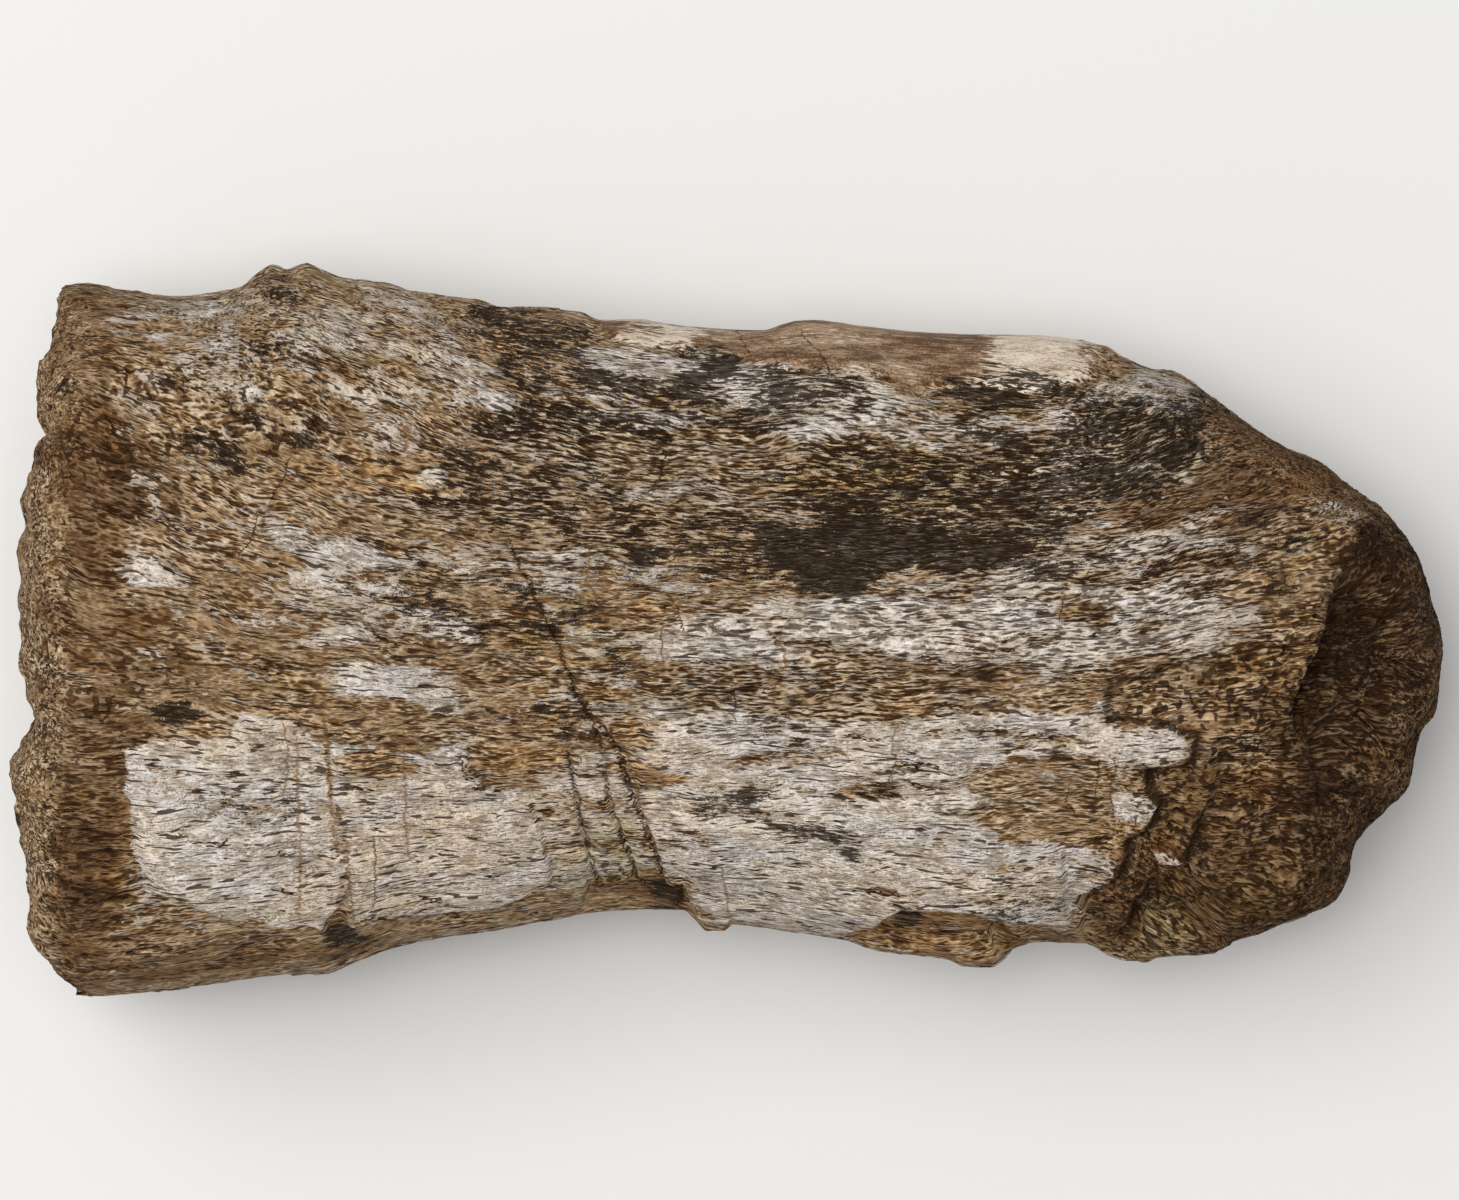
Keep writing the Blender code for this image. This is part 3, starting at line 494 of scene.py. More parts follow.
# Where each finish lies. A spot is (cover, column, row, half length, half width, tilt in degrees, clockwise),
# a shape is (cover, outline). Later ones lie over earlier ones. "under" is the cover that no picture shows
finishes = {
    "skin": {                     # pale grey skin of the bone
        "base": 0.16, "under": 0.36, "size": (7.0, 1.5), "fineSize": (2.6, 0.7), "wobble": 5, "marks": [
            (-0.30, 60, 640, 62, 420, 0), (-0.60, 1400, 660, 90, 240, 12),
            (-0.30, 1260, 850, 110, 110, -20), (-0.25, 1290, 710, 90, 70, 0), (0.02, 240, 960, 170, 20, -6),
            (0.08, 470, 926, 110, 11, -7), (-0.20, 1275, 468, 80, 26, 24), (0.50, 200, 330, 85, 32, 10),
            (0.50, 340, 345, 120, 48, 15), (0.58, 410, 320, 62, 26, 30), (0.62, 215, 372, 55, 20, 20),
            (0.50, 370, 412, 60, 26, 24), (0.95, 295, 535, 28, 13, 20), (1.15, 437, 471, 16, 12, 20),
            (0.92, 146, 574, 46, 13, 12), (0.62, 390, 565, 130, 30, 3), (0.85, 352, 570, 52, 22, 0),
            (0.50, 350, 618, 120, 22, 5), (0.78, 440, 626, 40, 15, 10), (0.88, 385, 681, 62, 20, 3),
            (0.80, 330, 640, 28, 8, 5), (0.80, 440, 690, 28, 22, 20), (0.55, 560, 572, 60, 30, 0),
            (0.90, 556, 578, 26, 18, 0), (0.90, 590, 562, 22, 16, 0), (0.45, 660, 575, 70, 26, 0),
            (0.66, 470, 372, 60, 24, 25), (0.90, 640, 366, 60, 24, 5), (0.86, 735, 372, 70, 26, 0),
            (0.90, 830, 390, 90, 34, 0), (0.60, 640, 405, 60, 16, 5), (0.62, 960, 410, 70, 24, 0),
            (0.36, 700, 465, 150, 38, 0), (0.30, 880, 465, 130, 36, 0), (0.62, 1065, 415, 26, 30, 0),
            (0.90, 1125, 382, 40, 12, -5), (0.70, 1170, 392, 30, 12, 10), (0.66, 1065, 480, 26, 32, -50),
            (0.45, 1130, 430, 50, 40, 0), (0.80, 1098, 518, 12, 6, 0), (0.64, 1130, 555, 130, 28, -4),
            (0.90, 1050, 580, 60, 22, 0), (0.60, 1130, 590, 100, 34, 0), (0.84, 960, 622, 240, 34, 0),
            (0.66, 1180, 622, 84, 30, -2), (0.86, 1060, 640, 110, 28, 0), (0.90, 700, 640, 70, 20, 0),
            (0.84, 820, 650, 120, 24, 0), (0.78, 1030, 730, 170, 30, 0), (1.05, 700, 735, 60, 38, 0),
            (0.88, 860, 745, 110, 32, 0), (0.92, 965, 760, 45, 34, 0), (0.86, 1140, 752, 48, 20, 0),
            (0.72, 590, 830, 70, 70, 0), (0.50, 590, 690, 40, 60, 0), (0.30, 1150, 705, 50, 18, 0),
            (0.50, 1200, 560, 70, 22, -6), (0.35, 1335, 512, 30, 14, 10),
            (1.06, [(121, 742), (228, 740), (240, 716), (300, 718), (322, 745), (330, 790), (345, 868),
                    (322, 925), (240, 918), (150, 896), (133, 850)]),
            (0.96, [(326, 738), (400, 752), (462, 748), (478, 786), (530, 800), (552, 876), (500, 902),
                    (345, 916), (346, 860)]),
            (0.92, [(650, 790), (760, 760), (900, 770), (985, 795), (1050, 838), (1108, 858), (1118, 880),
                    (1078, 902), (1066, 930), (1000, 920), (900, 906), (846, 938), (720, 918), (670, 876),
                    (648, 830)]),
            (1.10, [(1112, 796), (1130, 792), (1156, 804), (1150, 826), (1118, 818)]),
            (0.22, 880, 666, 84, 15, 6), (0.12, 816, 706, 90, 12, 2), (0.12, 1056, 696, 62, 13, 0),
            (0.08, [(1012, 756), (1100, 752), (1112, 790), (1108, 812), (1076, 808), (1068, 792),
                    (985, 800), (968, 790)]),
            (0.10, [(975, 812), (1050, 806), (1100, 826), (1112, 850), (1040, 838), (1000, 836)]),
            (0.10, 1085, 612, 26, 10, 0), (0.15, 375, 762, 40, 12, 3), (0.10, 385, 720, 88, 13, 2),
            (0.10, 865, 788, 26, 8, 0), (0.10, 432, 580, 20, 18, 0), (0.20, 420, 660, 40, 8, 5),
            (1.10, 1168, 870, 12, 5, 8), (0.75, 1105, 705, 12, 8, 0),
            (-0.30, [(597, 884), (640, 876), (682, 872), (696, 912), (690, 930), (600, 916)]),
        ],
    },
    "stain": {                    # black mineral stain, and a spot of painted shade in a notch under the lower edge
        "base": -0.45, "under": -0.1, "size": (3.2, 1.6), "fineSize": (1.2, 0.7), "wobble": 8, "marks": [
            (0.42, 760, 392, 160, 30, 0), (0.34, 1150, 560, 120, 30, 0), (0.30, 480, 600, 120, 40, 0),
            (0.72, 535, 332, 80, 24, 14), (0.62, 530, 366, 34, 18, 20), (0.66, 545, 414, 80, 22, 0),
            (0.55, 480, 470, 44, 40, 10), (0.36, 560, 500, 90, 60, 5), (0.40, 700, 545, 110, 48, 0),
            (0.85, 655, 556, 22, 9, 0), (0.62, 900, 470, 150, 44, 0), (0.78, 960, 530, 110, 44, 2),
            (0.66, 1000, 470, 100, 54, 0), (0.95, 634, 381, 16, 9, 25), (0.98, 686, 380, 24, 13, 0),
            (1.05, 722, 361, 20, 12, 0), (0.85, 790, 390, 34, 9, 0), (0.85, 650, 420, 30, 10, 10),
            (0.80, 598, 372, 24, 14, 20), (0.75, 740, 410, 26, 8, 0), (0.70, 850, 380, 20, 8, 0),
            (0.80, 1020, 378, 90, 16, 0), (0.74, 1120, 430, 90, 48, 0), (0.88, 1120, 462, 70, 24, 0),
            (0.80, 1190, 415, 26, 26, 0), (0.90, 1066, 506, 34, 10, -5), (0.70, 990, 410, 30, 16, 20),
            (0.85, 1040, 568, 26, 7, 10), (0.55, 1275, 582, 24, 14, 0), (0.60, 1275, 515, 44, 10, -12),
            (0.50, 1290, 540, 40, 8, -12), (0.55, 562, 716, 36, 28, 0), (0.70, 570, 715, 16, 12, 0),
            (0.50, 618, 672, 20, 24, 0), (0.45, 538, 630, 26, 26, 30), (0.80, 177, 712, 32, 13, 0),
            (0.60, 728, 806, 46, 16, 10), (0.68, 810, 830, 60, 11, 12), (0.60, 756, 790, 20, 14, 0),
            (0.85, 858, 850, 16, 6, 0), (0.75, 882, 790, 22, 8, 0), (0.45, 780, 732, 30, 14, 0),
            (0.72, 212, 444, 40, 20, 18), (0.50, 178, 388, 34, 12, 20), (0.60, 72, 388, 14, 12, 0),
            (0.50, 370, 449, 50, 6, 5), (0.60, 410, 492, 50, 7, 4), (0.42, 280, 418, 60, 24, 20),
            # the spot at column 345, row 935 is painted shade in the notch under the lower edge
            (0.50, 282, 286, 34, 12, 5), (0.50, 425, 580, 22, 13, 0), (0.90, 345, 935, 26, 12, 5),
            (0.45, 365, 535, 30, 8, 0), (0.40, 570, 610, 40, 18, 0), (0.30, 100, 745, 60, 14, 0),
            (0.42, 300, 350, 70, 16, 5), (0.30, 260, 800, 60, 24, 0), (0.35, 170, 832, 22, 6, 0),
            (0.25, 1010, 900, 70, 24, 0), (1.05, 664, 900, 20, 7, 6), (0.80, 905, 930, 20, 6, 8),
            (0.85, 700, 350, 26, 7, 0), (0.80, 770, 372, 18, 8, 20),
            (1.20, [(755, 514), (800, 520), (832, 505), (900, 510), (950, 530), (1022, 540), (1010, 556),
                    (960, 572), (900, 562), (850, 600), (800, 600), (790, 562), (765, 548)]),
        ],
    },
    "brown": {                    # darker, iron-stained bone, which over the end dome and the groove before it is partly painted shade
        "base": 0.08, "under": 0.35, "size": (6.0, 1.8), "fineSize": (2.0, 0.7), "wobble": 8, "marks": [
            (0.90, 92, 600, 30, 340, 0), (-0.10, 34, 600, 18, 400, 0), (1.25, 110, 470, 70, 50, 15),
            (1.30, 85, 865, 34, 90, 0), (1.15, 100, 615, 70, 12, 6), (0.60, 370, 408, 70, 30, 24),
            (0.65, 130, 640, 90, 40, 8), (0.60, 120, 325, 26, 26, 10), (0.45, 120, 690, 90, 24, 0),
            (0.70, 100, 740, 50, 40, 0), (0.40, 250, 590, 80, 20, 5), (0.45, 70, 350, 30, 60, 0),
            (0.35, 400, 640, 90, 20, 4), (0.20, 1250, 700, 60, 70, 0), (0.35, 1260, 690, 60, 60, 0),
            (0.85, 1240, 830, 90, 60, 0), (1.12, 1270, 900, 90, 40, -20), (1.20, 1330, 780, 50, 90, 0),
            # the next three marks, over the end dome and the groove before it, are partly the bone's own dark
            # brown and partly painted shade
            (1.35, 1390, 640, 60, 150, 6), (1.40, 1350, 820, 50, 70, 0),
            (1.75, [(1352, 545), (1375, 515), (1402, 560), (1394, 620), (1376, 700), (1345, 738),
                    (1314, 735), (1318, 690), (1332, 640), (1335, 590)]),
            (0.95, 1280, 450, 90, 20, 35), (0.85, 1220, 490, 90, 44, -10), (1.10, 1140, 900, 60, 40, -40),
            (0.60, 200, 962, 200, 18, -6), (0.50, 620, 895, 60, 12, 0), (0.35, 930, 935, 80, 22, 0),
            (0.90, 1030, 938, 40, 10, 0), (0.80, 668, 902, 24, 10, 0),
        ],
    },
    "ochre": {                    # yellow and orange iron stain
        "base": 0.12, "under": 0.20, "size": (5.0, 2.2), "fineSize": (1.6, 0.8), "wobble": 10, "marks": [
            (0.62, 850, 458, 120, 34, 0), (0.70, 370, 474, 84, 18, 5), (0.70, 1290, 488, 50, 14, -12),
            (0.62, 1300, 600, 34, 50, 0), (0.62, 1270, 690, 60, 50, 0), (0.90, 730, 780, 50, 13, 0),
            (0.55, 400, 830, 90, 70, 0), (0.60, 500, 332, 26, 8, 0), (0.60, 1130, 890, 60, 50, -40),
            (0.75, 935, 935, 90, 26, 0), (0.80, 510, 764, 55, 16, 2), (0.55, 690, 820, 40, 22, 0),
            (0.55, 600, 780, 80, 110, 0), (0.50, 360, 350, 70, 40, 0), (0.60, 380, 325, 20, 22, 0),
            (0.55, 1240, 790, 40, 40, 0), (0.55, 1030, 880, 50, 30, 0), (0.75, 1110, 830, 24, 14, 0),
            (0.20, 100, 480, 60, 50, 0), (0.10, 1390, 680, 60, 150, 0), (0.30, 120, 880, 40, 60, 0),
            (0.45, 560, 600, 90, 40, 0), (0.60, 910, 706, 20, 10, 0), (0.10, 600, 480, 120, 60, 0),
        ],
    },
    "olive": {                    # greenish tinge
        "base": 0.0, "under": 0.10, "size": (4.0, 2.5), "fineSize": (1.5, 1.0), "wobble": 12, "marks": [
            (0.60, 124, 900, 14, 50, 0), (0.50, 128, 728, 24, 10, 0), (0.80, 1260, 895, 90, 36, -20),
            (0.60, 1150, 945, 60, 20, 0), (0.50, 880, 460, 110, 34, 0), (0.50, 600, 860, 50, 50, 0),
            (0.50, 560, 650, 50, 60, 0), (0.20, 320, 340, 70, 30, 0),
        ],
    },
    "sponge": {                   # open, porous bone
        "base": 0.0, "under": 0.10, "size": (6.0, 3.0), "fineSize": (2.0, 1.5), "wobble": 10, "marks": [
            (0.0, 70, 640, 50, 400, 0), (0.75, 1250, 860, 130, 110, -20), (0.60, 1290, 680, 60, 90, 0),
            (0.95, 1380, 680, 90, 180, 10), (0.70, 1300, 770, 60, 60, 0), (0.45, 130, 430, 70, 80, 20),
            (0.40, 140, 680, 80, 50, 0),
        ],
    },
    "frayed": {                   # where the fibres stand apart: a higher bump, with painted highlights on the raised fibres and painted shade in the gaps between them
        "base": 0.30, "under": 0.28, "size": (6.0, 2.5), "fineSize": (2.0, 1.2), "wobble": 8, "marks": [
            (0.25, 60, 640, 50, 420, 0), (0.95, 700, 430, 220, 80, 0), (0.90, 900, 470, 200, 70, 0),
            (0.80, 560, 500, 110, 60, 5), (1.00, 1080, 590, 140, 50, 0), (0.90, 960, 640, 200, 40, 0),
            (0.80, 1120, 470, 120, 90, 0), (0.80, 760, 680, 120, 60, 0), (0.85, 1260, 700, 60, 80, 0),
            (0.35, 300, 350, 160, 60, 10), (0.75, 1385, 650, 50, 130, 6), (0.60, 730, 375, 130, 30, 0),
            (0.20, 230, 830, 110, 90, 0), (0.25, 440, 830, 100, 70, 0), (0.35, 760, 850, 160, 80, 0),
            (0.05, 370, 408, 64, 24, 22), (0.35, 260, 520, 120, 50, 5), (0.55, 1230, 500, 80, 50, -10),
        ],
    },
}
# The broken base of the arch is smooth, and runs from brown to cream and back: (column, cream)
scarCream = [(560, 0.10), (604, 0.10), (622, 0.70), (680, 0.62), (702, 0.25), (740, 0.0), (900, 0.05),
             (985, 0.20), (1010, 0.85), (1095, 0.90), (1120, 0.20), (1160, 0.30)]

# Thin cracks that show as rusty or dark lines: (rust, width in pixels, path). Near ones are in other lists
crackNames = ("crackA", "crackB", "crackC")
thinCracks = [
    [
        (0.9, 3.0, [(322, 722), (326, 760), (330, 800), (334, 838)]),
        (0.8, 2.2, [(404, 738), (402, 770), (405, 800), (404, 830), (408, 852)]),
        (0.2, 2.5, [(292, 456), (282, 478), (276, 490)]),
        (0.3, 2.0, [(668, 452), (660, 470), (640, 490), (630, 502)]),
        (0.25, 3.0, [(514, 545), (538, 600), (556, 640), (576, 690), (604, 748)]),
        (0.25, 3.6, [(606, 780), (622, 840), (640, 892)]),
        (0.9, 2.6, [(776, 640), (783, 650), (785, 668), (776, 676), (773, 698)]),
        (0.7, 1.8, [(895, 730), (893, 750), (890, 782)]),
        (0.2, 1.8, [(805, 340), (818, 352), (832, 368)]),
        (0.3, 2.0, [(1068, 790), (1066, 800), (1076, 812)]),
        (0.4, 1.8, [(1062, 600), (1060, 616)]),
        (0.1, 3.2, [(224, 802), (250, 806)]), (0.1, 3.0, [(189, 838), (208, 842), (225, 838)]),
        (0.1, 3.4, [(309, 868), (329, 871)]), (0.1, 3.0, [(420, 892), (446, 899)]),
        (0.1, 3.0, [(348, 787), (371, 789)]), (0.1, 3.0, [(472, 786), (498, 789)]),
        (0.1, 3.2, [(1027, 736), (1056, 736)]), (0.0, 5.0, [(895, 758), (914, 763), (932, 764)]),
        (0.1, 4.2, [(1058, 680), (1092, 682)]), (0.1, 3.6, [(856, 884), (895, 890)]),
        (0.1, 3.4, [(925, 656), (948, 662), (963, 667)]), (0.1, 3.0, [(808, 436), (835, 438)]),
        (0.1, 3.4, [(1144, 565), (1168, 567)]), (0.1, 4.0, [(250, 664), (281, 672)]),
        (0.0, 5.0, [(377, 634), (392, 641)]), (0.1, 3.4, [(732, 463), (757, 464)]),
        (0.0, 9.0, [(1225, 663), (1228, 664)]), (0.0, 6.0, [(1311, 726), (1313, 727)]),
        (0.1, 3.0, [(560, 500), (584, 504)]), (0.1, 3.0, [(150, 360), (176, 370)]),
        (0.1, 3.0, [(700, 516), (724, 515)]), (0.1, 3.0, [(1190, 600), (1216, 597)]),
    ],
    [
        (0.9, 2.2, [(296, 745), (297, 800), (299, 850), (296, 905)]),
        (0.8, 2.6, [(344, 842), (347, 880), (350, 916)]),
        (0.2, 2.2, [(256, 520), (252, 540), (244, 550)]),
        (0.15, 4.6, [(572, 690), (592, 716), (618, 748), (630, 790), (650, 842), (664, 880), (692, 928)]),
        (0.8, 2.0, [(590, 552), (586, 572), (592, 590), (598, 604)]),
        (0.2, 1.8, [(735, 334), (748, 350)]),
        (0.3, 1.8, [(670, 598), (678, 610), (682, 624)]),
        (0.2, 2.4, [(1240, 650), (1200, 658), (1162, 668), (1142, 684)]),
        (0.7, 1.6, [(722, 866), (726, 890), (728, 906)]),
        (0.5, 2.0, [(1115, 756), (1112, 790), (1114, 816)]),
        (0.8, 2.6, [(206, 815), (214, 808), (228, 801)]), (0.1, 3.0, [(277, 849), (292, 850)]),
        (0.1, 3.4, [(325, 843), (334, 850), (342, 852)]), (0.1, 2.8, [(371, 910), (384, 912)]),
        (0.1, 4.2, [(463, 764), (464, 772), (472, 779)]), (0.1, 3.2, [(910, 781), (930, 786), (949, 787)]),
        (0.0, 5.0, [(812, 681), (825, 684)]), (0.1, 4.0, [(769, 891), (781, 893)]),
        (0.1, 3.0, [(818, 641), (837, 643)]), (0.1, 3.0, [(330, 591), (350, 596), (366, 596)]),
        (0.1, 3.4, [(795, 434), (820, 437), (845, 435)]), (0.0, 5.0, [(478, 631), (483, 633)]),
        (0.0, 6.5, [(1145, 680), (1149, 682)]), (0.0, 5.0, [(1294, 732), (1297, 733)]),
        (0.1, 3.6, [(996, 600), (1030, 598)]), (0.1, 3.0, [(1090, 634), (1118, 632)]),
        (0.1, 3.0, [(430, 440), (452, 447)]), (0.1, 3.0, [(160, 520), (190, 530)]),
        (0.1, 3.0, [(620, 540), (648, 541)]), (0.1, 3.0, [(880, 530), (906, 529)]),
    ],
    [
        (0.7, 1.8, [(285, 728), (286, 760), (284, 792)]),
        (0.2, 3.8, [(568, 758), (578, 800), (588, 850), (600, 890)]),
        (0.8, 2.2, [(628, 760), (640, 800), (652, 840)]),
        (0.2, 2.6, [(620, 868), (634, 890), (650, 900)]),
        (0.3, 2.0, [(730, 690), (736, 700), (734, 716)]),
        (0.4, 1.6, [(660, 630), (662, 655)]),
        (0.4, 1.8, [(372, 842), (374, 870), (372, 900)]),
        (0.3, 1.6, [(1098, 765), (1096, 800)]),
        (0.8, 2.2, [(250, 806), (268, 808), (285, 812)]), (0.1, 2.8, [(273, 884), (290, 888)]),
        (0.1, 2.8, [(442, 918), (459, 918)]), (0.1, 3.2, [(847, 734), (866, 737), (881, 736)]),
        (0.1, 4.0, [(380, 650), (388, 656), (396, 658)]), (0.1, 4.0, [(667, 445), (665, 462)]),
        (0.0, 5.0, [(1294, 801), (1297, 802)]), (0.0, 5.0, [(1206, 868), (1209, 869)]),
        (0.0, 4.0, [(1240, 842), (1243, 842)]), (0.0, 4.5, [(1262, 880), (1264, 881)]),
        (0.0, 4.0, [(1222, 806), (1224, 807)]), (0.0, 4.5, [(1188, 772), (1191, 773)]),
        (0.1, 3.0, [(980, 648), (1010, 650)]), (0.1, 3.0, [(940, 705), (972, 708)]),
        (0.1, 3.2, [(690, 660), (716, 662)]), (0.1, 3.0, [(300, 470), (326, 478)]),
        (0.1, 3.0, [(1130, 520), (1160, 516)]), (0.1, 3.0, [(210, 610), (240, 617)]),
    ],
]

# What the forms add to the cover of the finishes
formCover = {
    "sponge": (1.3, -0.7), "spongeAtRim": -0.6, "spongeOnFace": 0.5,
    "skinOnFace": -0.25, "skinInScar": -0.5, "frayedInScar": -1.0,
    "domeColumns": (1250, 1350), "skinUnderDome": -0.6, "brownUnderDome": 0.7,
}
spotEdge = (0.65, 1.35)           # where a spot begins and stops to fade, in shares of its half sizes
shapeEdge = (-4, 4)               # the same for a shape, in pixels in from its outline
fineRelief = {                    # sizes in millimetres along and across the grain, heights in metres
    "bend": 0.55, "bendSize": (7.0, 2.4, 2.4),     # how far the fibres wander, in millimetres
    "fibreSize": (2.8, 0.62, 0.62), "fibreHeight": 0.00017,
    "threadSize": (1.5, 0.42, 0.42), "threadHeight": 0.00010,
    "slitSize": (5.5, 0.55, 0.55), "slitDepth": 0.00060, "slitEdge": (0.42, 0.66),
    "slitGroups": (14, 5, 5), "slitSpared": 0.32,
    "poreSize": (1.9, 1.30, 1.30), "poreDepth": 0.00090, "poreEdge": (0.10, 0.36),
    "rimSpared": 0.6,             # how much shallower the pores are at the rim
    "flakeSize": (16.0, 4.5, 4.5), "flakeHeight": 0.00030, "flakeSteps": 5, "flakeEdge": (0.72, 1.0),
    "skinHeight": 0.00018, "skinEdge": (-0.02, 0.06),
    # how much calmer the fine relief is under the skin and on the arch's base, and least of all
    "skinCalm": 0.65, "skinCalmEdge": (-0.1, 0.2), "scarCalm": 0.8, "scarBand": (0.0, 0.01), "least": 0.06,
    "porousEdge": (-0.15, 0.25), "scarFlakesSpared": 0.7, "porousFlakesSpared": 0.6,
    # the depth at which the sunk fine relief gets its full painted shade in the colour
    "slitsFrom": 0.1, "reliefShadingDepth": 0.0004,
    "wobbleSize": (6.0, 1.6, 1.6), "mottleShares": (0.62, 0.38), "mottleReach": 0.75,
    "crackWander": 2.5, "crackWanderSize": (2.5, 1.2, 1.2), "crackReach": (4, 14), "crackCore": 0.8,
    "creamDrift": 24, "creamDriftSize": (0.014, 0.010, 0.010),    # pixels, and metres
    "seeds": {"bend": 91, "finish": 100, "nextFinish": 20, "flake": 301, "fibre": 311, "thread": 317,
              "slit": 321, "slitGroups": 323, "pore": 331, "crack": 401, "cream": 411},
}


def coverOf(spots, finish):
    # how much of a finish there is at each place, from 0 to 1 and a little over
    cover = np.full(len(spots), finish["base"])
    for mark in finish["marks"]:
        if len(mark) == 2:
            cover += (mark[0] - cover) * smoothStep(depthInside(spots, mark[1]), *shapeEdge)
            continue
        target, column, row, halfLength, halfWidth, tilt = mark
        turn = math.radians(tilt)
        away = spots - (column, row)
        along = away @ (math.cos(turn), math.sin(turn))
        across = away @ (-math.sin(turn), math.cos(turn))
        away = np.hypot(along / halfLength, across / halfWidth)
        cover += (target - cover) * (1 - smoothStep(away, *spotEdge))
    return cover


def finishField(name, spots, shown, grain, seed):
    # above 0 where the finish lies. Its edges follow the grain
    finish, fine = finishes[name], fineRelief
    (length, width), (fineLength, fineWidth) = finish["size"], finish["fineSize"]
    moved = spots + finish["wobble"] * strays(grain, fine["wobbleSize"], seed)
    cover = finish["under"] + (coverOf(moved, finish) - finish["under"]) * shown
    mottle = fine["mottleShares"][0] * layeredNoise(grain, (length, width, width), 2, seed + 2)
    mottle += fine["mottleShares"][1] * layeredNoise(grain, (fineLength, fineWidth, fineWidth), 2, seed + 5)
    return cover - smoothStep(mottle, -fine["mottleReach"], fine["mottleReach"])


def finishFields(spots, arc, grain, shown, onFace, sponge, inScar):
    seeds = fineRelief["seeds"]
    fields = {}
    for k, name in enumerate(finishes):
        fields[name] = finishField(name, spots, shown, grain, seeds["finish"] + seeds["nextFinish"] * k)
    share, base = formCover["sponge"]
    rim = 1 - smoothStep(spots[:, 0], *relief["rimColumns"])
    fields["sponge"] = np.maximum(fields["sponge"], sponge * share + base + formCover["spongeAtRim"] * rim)
    fields["sponge"][onFace] = formCover["spongeOnFace"]
    fields["skin"][onFace] += formCover["skinOnFace"]
    fields["skin"] += formCover["skinInScar"] * inScar
    fields["frayed"] += formCover["frayedInScar"] * inScar
    underDome = smoothStep(spots[:, 0], *formCover["domeColumns"]) * (arc > 1)
    fields["skin"] += formCover["skinUnderDome"] * underDome
    fields["brown"] += formCover["brownUnderDome"] * underDome
    return fields


def fineForms(spots, arc, grain, fields, inScar):
    # heights of the fibres, slits, pores and the edge of the skin, and of the broad flakes
    fine, seeds = fineRelief, fineRelief["seeds"]
    band = inScar * smoothStep(arc, *fine["scarBand"])
    calmer = fine["skinCalm"] * smoothStep(fields["skin"], *fine["skinCalmEdge"])
    coarse = np.clip(1 - calmer - fine["scarCalm"] * band, fine["least"], 1)
    flake = layeredNoise(grain, fine["flakeSize"], 3, seeds["flake"]) * fine["flakeSteps"]
    flake = (np.floor(flake) + smoothStep(flake - np.floor(flake), *fine["flakeEdge"])) / fine["flakeSteps"]
    small = fine["fibreHeight"] * noiseAt(grain, fine["fibreSize"], seeds["fibre"]) * coarse
    small += fine["threadHeight"] * noiseAt(grain, fine["threadSize"], seeds["thread"]) * coarse
    groups = noiseAt(grain, fine["slitGroups"], seeds["slitGroups"])
    clear = fine["slitSpared"] * smoothStep(groups, 0.4, -0.4)
    slit = smoothStep(noiseAt(grain, fine["slitSize"], seeds["slit"]) - clear, *fine["slitEdge"])
    slit *= np.clip(coarse - fine["slitsFrom"], 0, 1)
    small -= fine["slitDepth"] * slit * (1 - band)
    porous = smoothStep(fields["sponge"], *fine["porousEdge"])
    some = porous > 0
    pore = np.zeros(len(spots))
    pore[some] = 1 - smoothStep(nearestPit(grain[some], fine["poreSize"], seeds["pore"]), *fine["poreEdge"])
    rim = 1 - smoothStep(spots[:, 0], *relief["rimColumns"])
    small -= fine["poreDepth"] * pore * porous * (1 - fine["rimSpared"] * rim)
    small += fine["skinHeight"] * smoothStep(fields["skin"], *fine["skinEdge"])
    large = fine["flakeHeight"] * flake * (1 - fine["scarFlakesSpared"] * band)
    large *= 1 - fine["porousFlakesSpared"] * porous
    return small, large


def crackValues(lines, moved, shown):
    # for each place: how far it is from the nearest crack in widths, to which side, a fade from 1 to 0
    # away from it, and how rusty that crack is
    near, side = np.full(len(moved), 99.0), np.ones(len(moved))
    rust, wide = np.zeros(len(moved)), np.ones(len(moved))
    for rusty, lineWidth, path in lines:
        distance, which, _ = nearPath(moved, path)
        closer = distance < near
        near[closer], side[closer] = distance[closer], which[closer]
        rust[closer], wide[closer] = rusty, lineWidth
    fade = (1 - smoothStep(near, *fineRelief["crackReach"])) * shown
    return np.stack([side * np.minimum(near, 20) / (fineRelief["crackCore"] * wide), fade, rust], axis=1)


def bodyMesh(points, tips):
    # a closed mesh of the rings of points, with a tip at each end
    count, around = points.shape[:2]
    index = np.arange(count * around).reshape(count, around)
    after = np.roll(index, -1, axis=1)
    start, stop = count * around, count * around + 1
    faces = np.stack([index[:-1], after[:-1], after[1:], index[1:]], axis=-1).reshape(-1, 4).tolist()
    faces += [(start, b, a) for a, b in zip(index[0].tolist(), after[0].tolist())]
    faces += [(stop, a, b) for a, b in zip(index[-1].tolist(), after[-1].tolist())]
    mesh = bpy.data.meshes.new("fossilBone")
    mesh.from_pydata(np.concatenate([points.reshape(-1, 3), tips]).tolist(), [], faces)
    mesh.validate()
    return mesh, sum(len(face) - 2 for face in faces)


